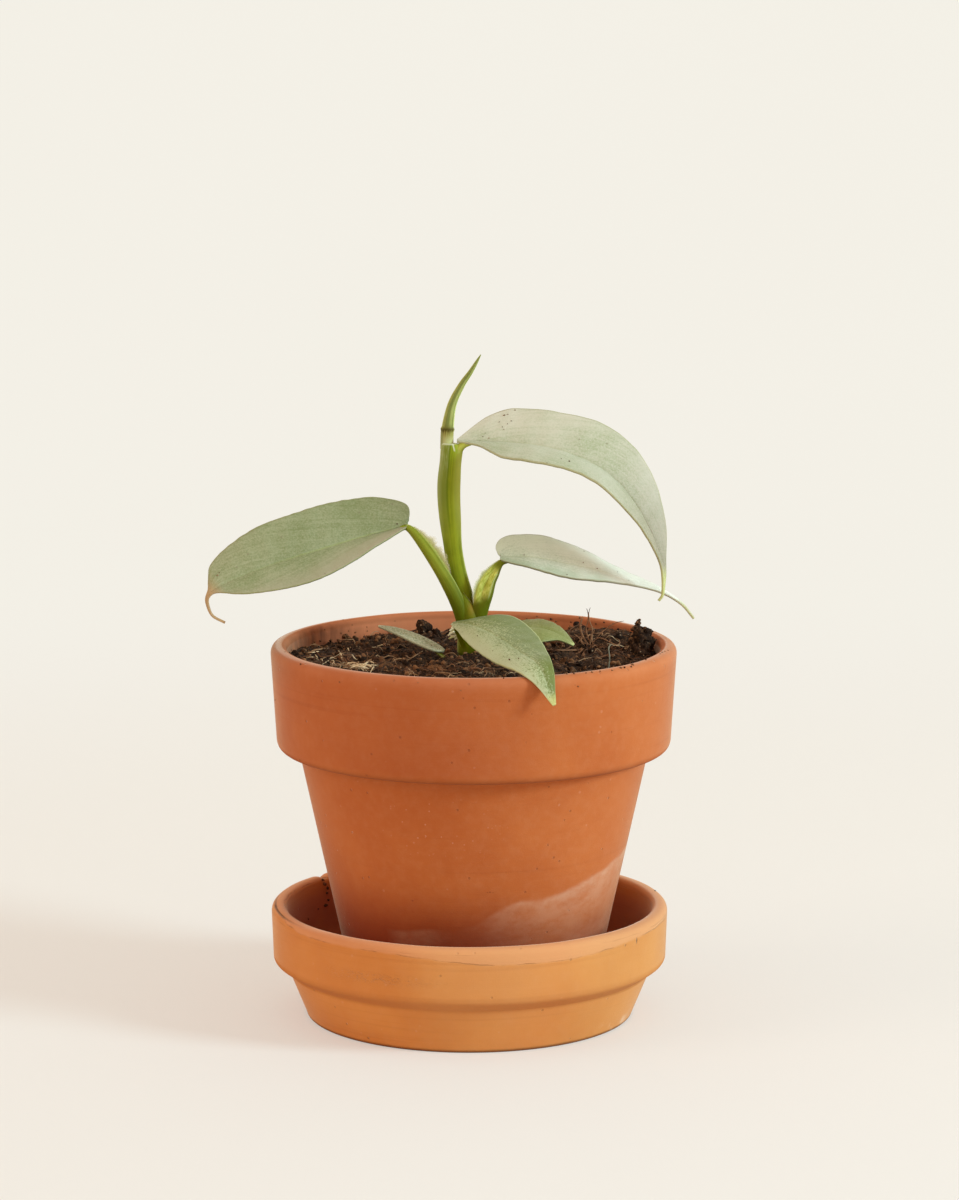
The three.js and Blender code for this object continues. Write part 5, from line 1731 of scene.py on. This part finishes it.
class PLANT_OT_stalks(Operator):
    """Grow the crown, the leaf stalks and the rolled new leaf"""

    bl_idname = "plant.stalks"
    bl_label = "Stalks"

    def execute(self, context):
        plant = context.scene.plant_project.plant
        effect = stalk_effect()
        green = plant.stem_color
        # Stalks low down near the soil get deeper greens: painted shade under the leaves
        low = {"Green": (0.100, 0.112, 0.0012), "Bright": (0.155, 0.160, 0.0022)}
        fresh = {"Green": green, "Bright": (0.310, 0.345, 0.015)}

        def rusty_spot(r, color, x, z):
            """Orange-brown mark where the stalks part."""
            spot = r.ridge(x, 0.0007, 0.0018) * r.ridge(z, 0.1212, 0.0036)
            return r.mix(spot * 0.62, color, (0.33, 0.185, 0.018))

        def crown_marks(r, color, u, along, x, z):
            color = rusty_spot(r, color, x, z)
            # Painted shade: the crown is darkened near the soil, under the leaves
            return r.mix(r.fade(z, 0.1105, 0.1065, 0.0, 0.7), color, (0.045, 0.058, 0.003))

        def central_marks(r, color, u, along, x, z):
            # -1 at the left edge of the stalk, 1 at its right edge
            side = r.math("COSINE", u * 2 * math.pi)
            # A dull silvery sheath wraps the left of the stalk, and painted shade darkens the groove beside
            # it
            dull = r.mix(r.fade(side, -0.5, -1.0), (0.180, 0.210, 0.026), (0.320, 0.350, 0.130))
            streaks = r.noise(r.join(u * 64.0, z * 260.0), 1.0, 3, 0.6)
            pale = r.fade(streaks, 0.42, 0.72) * r.fade(z, 0.157, 0.167)
            dull = r.mix(pale * 0.55, dull, (0.46, 0.48, 0.24))
            sheath = r.fade(side, -0.12, -0.26) * r.fade(z, 0.136, 0.156, 0.2, 0.9)
            color = r.mix(sheath, color, dull)
            groove_shade = r.ridge(side, -0.15, 0.13) * r.fade(z, 0.140, 0.153)
            color = r.mix(groove_shade * 0.8, color, (0.105, 0.150, 0.005))
            bright = r.fade(side, 0.15, 0.9) * r.fade(z, 0.136, 0.154, 0.0, 0.85)
            color = r.mix(bright, color, (0.480, 0.500, 0.085))
            # A pale lip closes the sheath at the top
            lip = r.fade(z, 0.1691, 0.1697) * r.fade(side, 0.3, 0.1)
            color = r.mix(lip * 0.8, color, (0.68, 0.68, 0.45))
            # A little pale flap hangs over the edge, where the sheath meets the leaf's own stalk
            flap = r.ridge(x + z * 0.25, 0.0376, 0.0004) * r.fade(z, 0.1672, 0.1680)
            color = r.mix(flap * 0.65, color, (0.80, 0.78, 0.58))
            # Painted shade: the stalk is darker low down, under the leaves
            color = r.mix(r.fade(z, 0.134, 0.118, 0.0, 0.9), color, (0.140, 0.150, 0.002))
            return rusty_spot(r, color, x, z)

        def wing_marks(angle, opens, inner, low):
            def marks(r, color, u, along, x, z):
                # Painted shade: the stalk is darker low down, under the leaves
                color = r.mix(r.fade(z, 0.134, 0.119, 0.0, 0.92), color, low)
                turn = (math.radians(angle) / (2 * math.pi)) % 1
                apart = r.math("PINGPONG", u - turn, 0.5)
                lean = along + (u - turn) * 0.35
                open_ = r.fade(lean, opens, opens + 0.11) * r.fade(along, 0.89, 0.80)
                flow = r.join(u * 26.0, along * 14.0)
                pale = r.dye(inner, (1.55, 1.50, 3.0))
                deep = r.dye(inner, (0.86, 0.88, 0.70))
                patches = r.mix(r.fade(r.noise(flow, 1.0, 4, 0.65), 0.34, 0.66), pale, deep)
                inside = r.fade(apart, 0.165, 0.09) * open_
                color = r.mix(inside * 0.95, color, patches)
                for side in (-1, 1):
                    edge = (turn + side * WING_ANGLE / (2 * math.pi)) % 1
                    line = r.ridge(r.math("PINGPONG", u - edge, 0.5), 0.0, 0.018) * open_ * 0.5
                    color = r.mix(line, color, (0.66, 0.67, 0.34))
                return color
            return marks

        def spear_marks(r, color, u, along, x, z):
            side = r.math("COSINE", u * 2 * math.pi)
            teeth = r.noise(r.join(u * 34.0, z * 160.0), 1.0, 3, 0.6)
            uneven = (teeth - 0.5) * 0.0036
            base = r.fade(z + uneven, 0.1742, 0.1732)
            below = r.mix(r.fade(z, 0.1725, 0.1702), (0.350, 0.310, 0.085), (0.480, 0.460, 0.200))
            below = r.mix(r.fade(side, -0.45, -0.75, 0.0, 0.75), below, (0.220, 0.225, 0.085))
            color = r.mix(base * 0.9, color, below)
            stained = r.ridge(z + uneven, 0.1738, 0.0022) * r.fade(abs(side), 1.0, 0.3)
            color = r.mix(stained * 0.75, color, (0.165, 0.130, 0.022))
            ring = r.ridge(z + uneven * 0.4, 0.1738, r.fade(teeth, 0.35, 0.65, 0.0006, 0.0013))
            return r.mix(ring * 0.80, color, (0.062, 0.042, 0.004))

        def ring_swell(s):
            """The leaf is swollen at its ring and drawn in above it."""
            swollen, drawn = (s - 0.19) / 0.014, (s - 0.215) / 0.012
            return 1 + 0.09 * math.exp(-(swollen**2)) - 0.04 * math.exp(-(drawn**2))

        crown = stalk_finish("crown_skin", effect, crown_marks, **low)
        central = stalk_finish("central_stalk_skin", effect, central_marks, **fresh)
        left_marks = wing_marks(-35, 0.50, (0.360, 0.370, 0.060), (0.098, 0.114, 0.0015))
        right_marks = wing_marks(104, 0.50, (0.470, 0.490, 0.060), (0.110, 0.125, 0.0020))
        left = stalk_finish(
            "left_stalk_skin", effect, left_marks, Green=(0.165, 0.185, 0.010),
            Bright=(0.265, 0.280, 0.024),
        )
        right = stalk_finish(
            "right_stalk_skin", effect, right_marks, Green=(0.130, 0.150, 0.004),
            Bright=(0.230, 0.245, 0.020),
        )
        short = stalk_finish("short_stalk_skin", effect, None, **low)
        spear = stalk_finish(
            "new_leaf_skin", effect, spear_marks, Green=(0.190, 0.205, 0.042), Bright=(0.370, 0.375, 0.110),
            Strip=(0.165, 0.180, 0.042), Strip_Turn=0.28, Strip_Width=0.06,
        )
        make_stalk("crown", crown, "stem_crown")
        make_stalk("central_stalk", central, "petiole_central", "petiole_neck")
        make_stalk("left_stalk", left, "petiole_left")
        make_stalk("right_stalk", right, "petiole_right")
        for name in ("front", "small_right", "small_left"):
            make_stalk(name + "_stalk", short, "petiole_" + name)
        make_stalk("rolled_new_leaf", spear, "new_leaf", swell=ring_swell)
        return {"FINISHED"}


class PLANT_OT_sheaths(Operator):
    """Add the papery sheath edges and the first aerial roots"""

    bl_idname = "plant.sheaths"
    bl_label = "Sheaths and Roots"

    def execute(self, context):
        pale = film_finish("sheath_film", (0.56, 0.56, 0.19), (0.95, 0.92, 0.68))
        left = Stalk(STALKS["petiole_left"])
        right = Stalk(STALKS["petiole_right"])
        make_film("left_sheath_edge", left, 1, 0.56, 0.94, 3.2, 0.10, pale)
        make_film("right_sheath_edge", right, 1, 0.49, 0.93, 1.5, 0.10, pale)
        rng = random.Random(NUB_SEED)
        rows = []
        for k in range(NUB_COUNT):
            # First aerial roots: short pale nubs that stand out of the crown's left side and droop
            turn = math.radians(158 + 62 * k / NUB_COUNT + rng.gauss(0, 3))
            height, reach = 112.2 + 3.3 * rng.random(), 1.6 + 2.1 * rng.random()
            line = []
            for t in (0, 0.3, 0.6, 0.85, 1.0):
                out = 3.4 + reach * t
                droop = 1.3 * t * t - 0.5 * t
                line.append((0.5 + out * math.cos(turn), 4 + out * math.sin(turn), height - droop))
            rows.append((line, 0.26 + 0.16 * rng.random(), 0))
        material, r = new_finish("root_nub_skin")
        grain = r.noise(r.place(), 1800, 3, 0.6)
        color = r.mix(r.fade(r.noise(r.place(), 420, 2), 0.35, 0.6), (0.66, 0.66, 0.27), (0.88, 0.82, 0.56))
        color = r.mix(r.fade(grain, 0.55, 0.8, 0, 0.4), color, (0.24, 0.14, 0.06))
        r.surface(color, r.fade(grain, 0.3, 0.7, 0.5, 0.75), grain * 0.15, Specular_IOR_Level=0.35)
        place_piece("root_nubs", tube_mesh("root_nubs", rows, [material], 2), "stem")
        return {"FINISHED"}


class PLANT_OT_litter(Operator):
    """Scatter loose crumbs on the clay and the leaves, and stand the root threads up"""

    bl_idname = "plant.litter"
    bl_label = "Crumbs and Root Threads"

    def execute(self, context):
        soil = context.scene.plant_project.soil
        objects = bpy.data.objects
        effect = bpy.data.node_groups["potting_soil"]
        clay_eye = Eye(objects["pot_shell"], objects["saucer_shell"])
        leaf_eye = Eye(*(objects[name + "_blade"] for name in LEAVES))
        make_loose_crumbs(soil, effect, clay_eye, leaf_eye)
        soil_eye = Eye(objects["soil_body"], objects["pot_shell"])
        make_roots(soil_eye, list(objects["soil_fibres"].data.materials))
        return {"FINISHED"}


# The paper's front, back and top, the round of its bend and its width, and the lights' aim, in metres
PAPER_FRONT = -2.2
PAPER_BACK = 0.9
PAPER_BEND = 0.7
PAPER_TOP = 2.6
PAPER_WIDTH = 6.0
LIGHT_AIM = 0.10


class PLANT_OT_studio(Operator):
    """Set up the paper floor, the soft lights and the camera"""

    bl_idname = "plant.studio"
    bl_label = "Studio"

    def execute(self, context):
        studio = context.scene.plant_project.studio
        bm = bmesh.new()
        # The paper lies flat, bends up behind the plant and hangs from above
        line = [(PAPER_FRONT, 0), (PAPER_BACK, 0)]
        for bend in np.linspace(0.1, math.pi / 2, 14):
            line.append((PAPER_BACK + PAPER_BEND * math.sin(bend), PAPER_BEND * (1 - math.cos(bend))))
        line.append((PAPER_BACK + PAPER_BEND, PAPER_TOP))
        verts = [bm.verts.new((-PAPER_WIDTH / 2, y, z)) for y, z in line]
        edges = [bm.edges.new(pair) for pair in zip(verts, verts[1:])]
        made = bmesh.ops.extrude_edge_only(bm, edges=edges)["geom"]
        far_side = [item for item in made if isinstance(item, bmesh.types.BMVert)]
        bmesh.ops.translate(bm, verts=far_side, vec=(PAPER_WIDTH, 0, 0))
        bmesh.ops.recalc_face_normals(bm, faces=bm.faces)
        add_object("paper_sweep", to_mesh("paper_sweep", bm, paper_finish(studio)))

        add_light("key_softbox", (1.89, -0.76, 0.90), 0.55, studio.key_power, (0.60, 0.87, 1.0))
        add_light("left_fill", (-1.85, -0.7, 0.8), 1.0, studio.fill_power, (1.0, 0.88, 0.76))

        world = bpy.data.worlds.new("studio_air")
        world.use_nodes = True
        world.node_tree.nodes.clear()
        air = Recipe(world.node_tree)
        glow = air.add("Background", {"Color": (1.0, 0.88, 0.765), "Strength": 0.76})
        seen = air.add("Background", {"Color": (0.88, 0.82, 0.76), "Strength": 1.0})
        air.node("ShaderNodeOutputWorld", {0: air.for_camera(glow, seen)})
        context.scene.world = world

        camera = bpy.data.cameras.new("camera")
        camera.lens = CAMERA_LENS
        camera.sensor_width = CAMERA_SENSOR
        camera.sensor_fit = "AUTO"
        camera.clip_start, camera.clip_end = 0.05, 20
        holder = add_object("camera", camera)
        holder.location = CAMERA_PLACE
        holder.rotation_euler = (math.pi / 2 - CAMERA_PITCH, 0, 0)
        context.scene.camera = holder
        context.scene.view_settings.view_transform = "Standard"
        return {"FINISHED"}


def paper_finish(studio):
    """Cream paper: it glows a little towards the camera, so that only soft shadows mark it."""
    material, r = new_finish("cream_paper")
    place = r.place()
    grain = r.noise(place, 900, 3, 0.6)
    cloud = r.noise(place, 2.0, 2, 0.5)
    tint = r.mix(r.fade(cloud, 0.3, 0.7, 0, 0.25), studio.floor_color, (0.889, 0.857, 0.776))
    x, y, _ = r.split(place)
    tint = r.mix(r.fade(y, 0.8, 0.1), tint, (0.976, 0.952, 0.966), "MULTIPLY")
    relief = r.add("Bump", {"Height": grain * 0.02, "Distance": MM})
    shade = r.add("BsdfDiffuse", {"Color": r.mix(0.08, tint, (0.5, 0.42, 0.36)), "Normal": relief})
    glow = r.add("Emission", {"Color": tint, "Strength": 1.0})
    away = r.math("SQRT", x * x + y * y)
    seen = r.add("MixShader", {0: r.fade(away, 0.20, 0.70, 0.54, 0.05), 1: glow, 2: shade})
    r.node("ShaderNodeOutputMaterial", {0: r.for_camera(shade, seen)})
    return material


def add_light(name, place, size, power, color):
    """A square soft light that faces the plant."""
    light = bpy.data.lights.new(name, "AREA")
    light.shape = "SQUARE"
    light.size = size
    light.energy = power
    light.color = color
    holder = add_object(name, light)
    holder.location = place
    aim = Vector((0, 0, LIGHT_AIM)) - Vector(place)
    holder.rotation_euler = aim.to_track_quat("-Z", "Y").to_euler()


class PLANT_PT_panel(Panel):
    bl_idname = "PLANT_PT_panel"
    bl_label = "Potted Philodendron"
    bl_space_type = "VIEW_3D"
    bl_region_type = "UI"
    bl_category = "Plant"

    def draw(self, context):
        project = context.scene.plant_project
        for settings in (project.clay, project.soil, project.plant, project.studio):
            box = self.layout.box()
            for name in settings.__annotations__:
                box.prop(settings, name)
        for operator in PIECES:
            self.layout.operator(operator.bl_idname)


PIECES = (
    PLANT_OT_clay, PLANT_OT_soil, PLANT_OT_leaves, PLANT_OT_stalks, PLANT_OT_sheaths, PLANT_OT_litter,
    PLANT_OT_studio,
)
CLASSES = (
    ClaySettings, SoilSettings, PlantSettings, StudioSettings, PlantProject, *PIECES, PLANT_PT_panel,
)


def register():
    for cls in CLASSES:
        bpy.utils.register_class(cls)
    bpy.types.Scene.plant_project = PointerProperty(type=PlantProject)


def unregister():
    del bpy.types.Scene.plant_project
    for cls in reversed(CLASSES):
        bpy.utils.unregister_class(cls)


def main():
    register()
    bpy.ops.plant.clay()
    bpy.ops.plant.soil()
    bpy.ops.plant.leaves()
    bpy.ops.plant.stalks()
    bpy.ops.plant.sheaths()
    bpy.ops.plant.litter()
    bpy.ops.plant.studio()


if __name__ == "__main__":
    main()
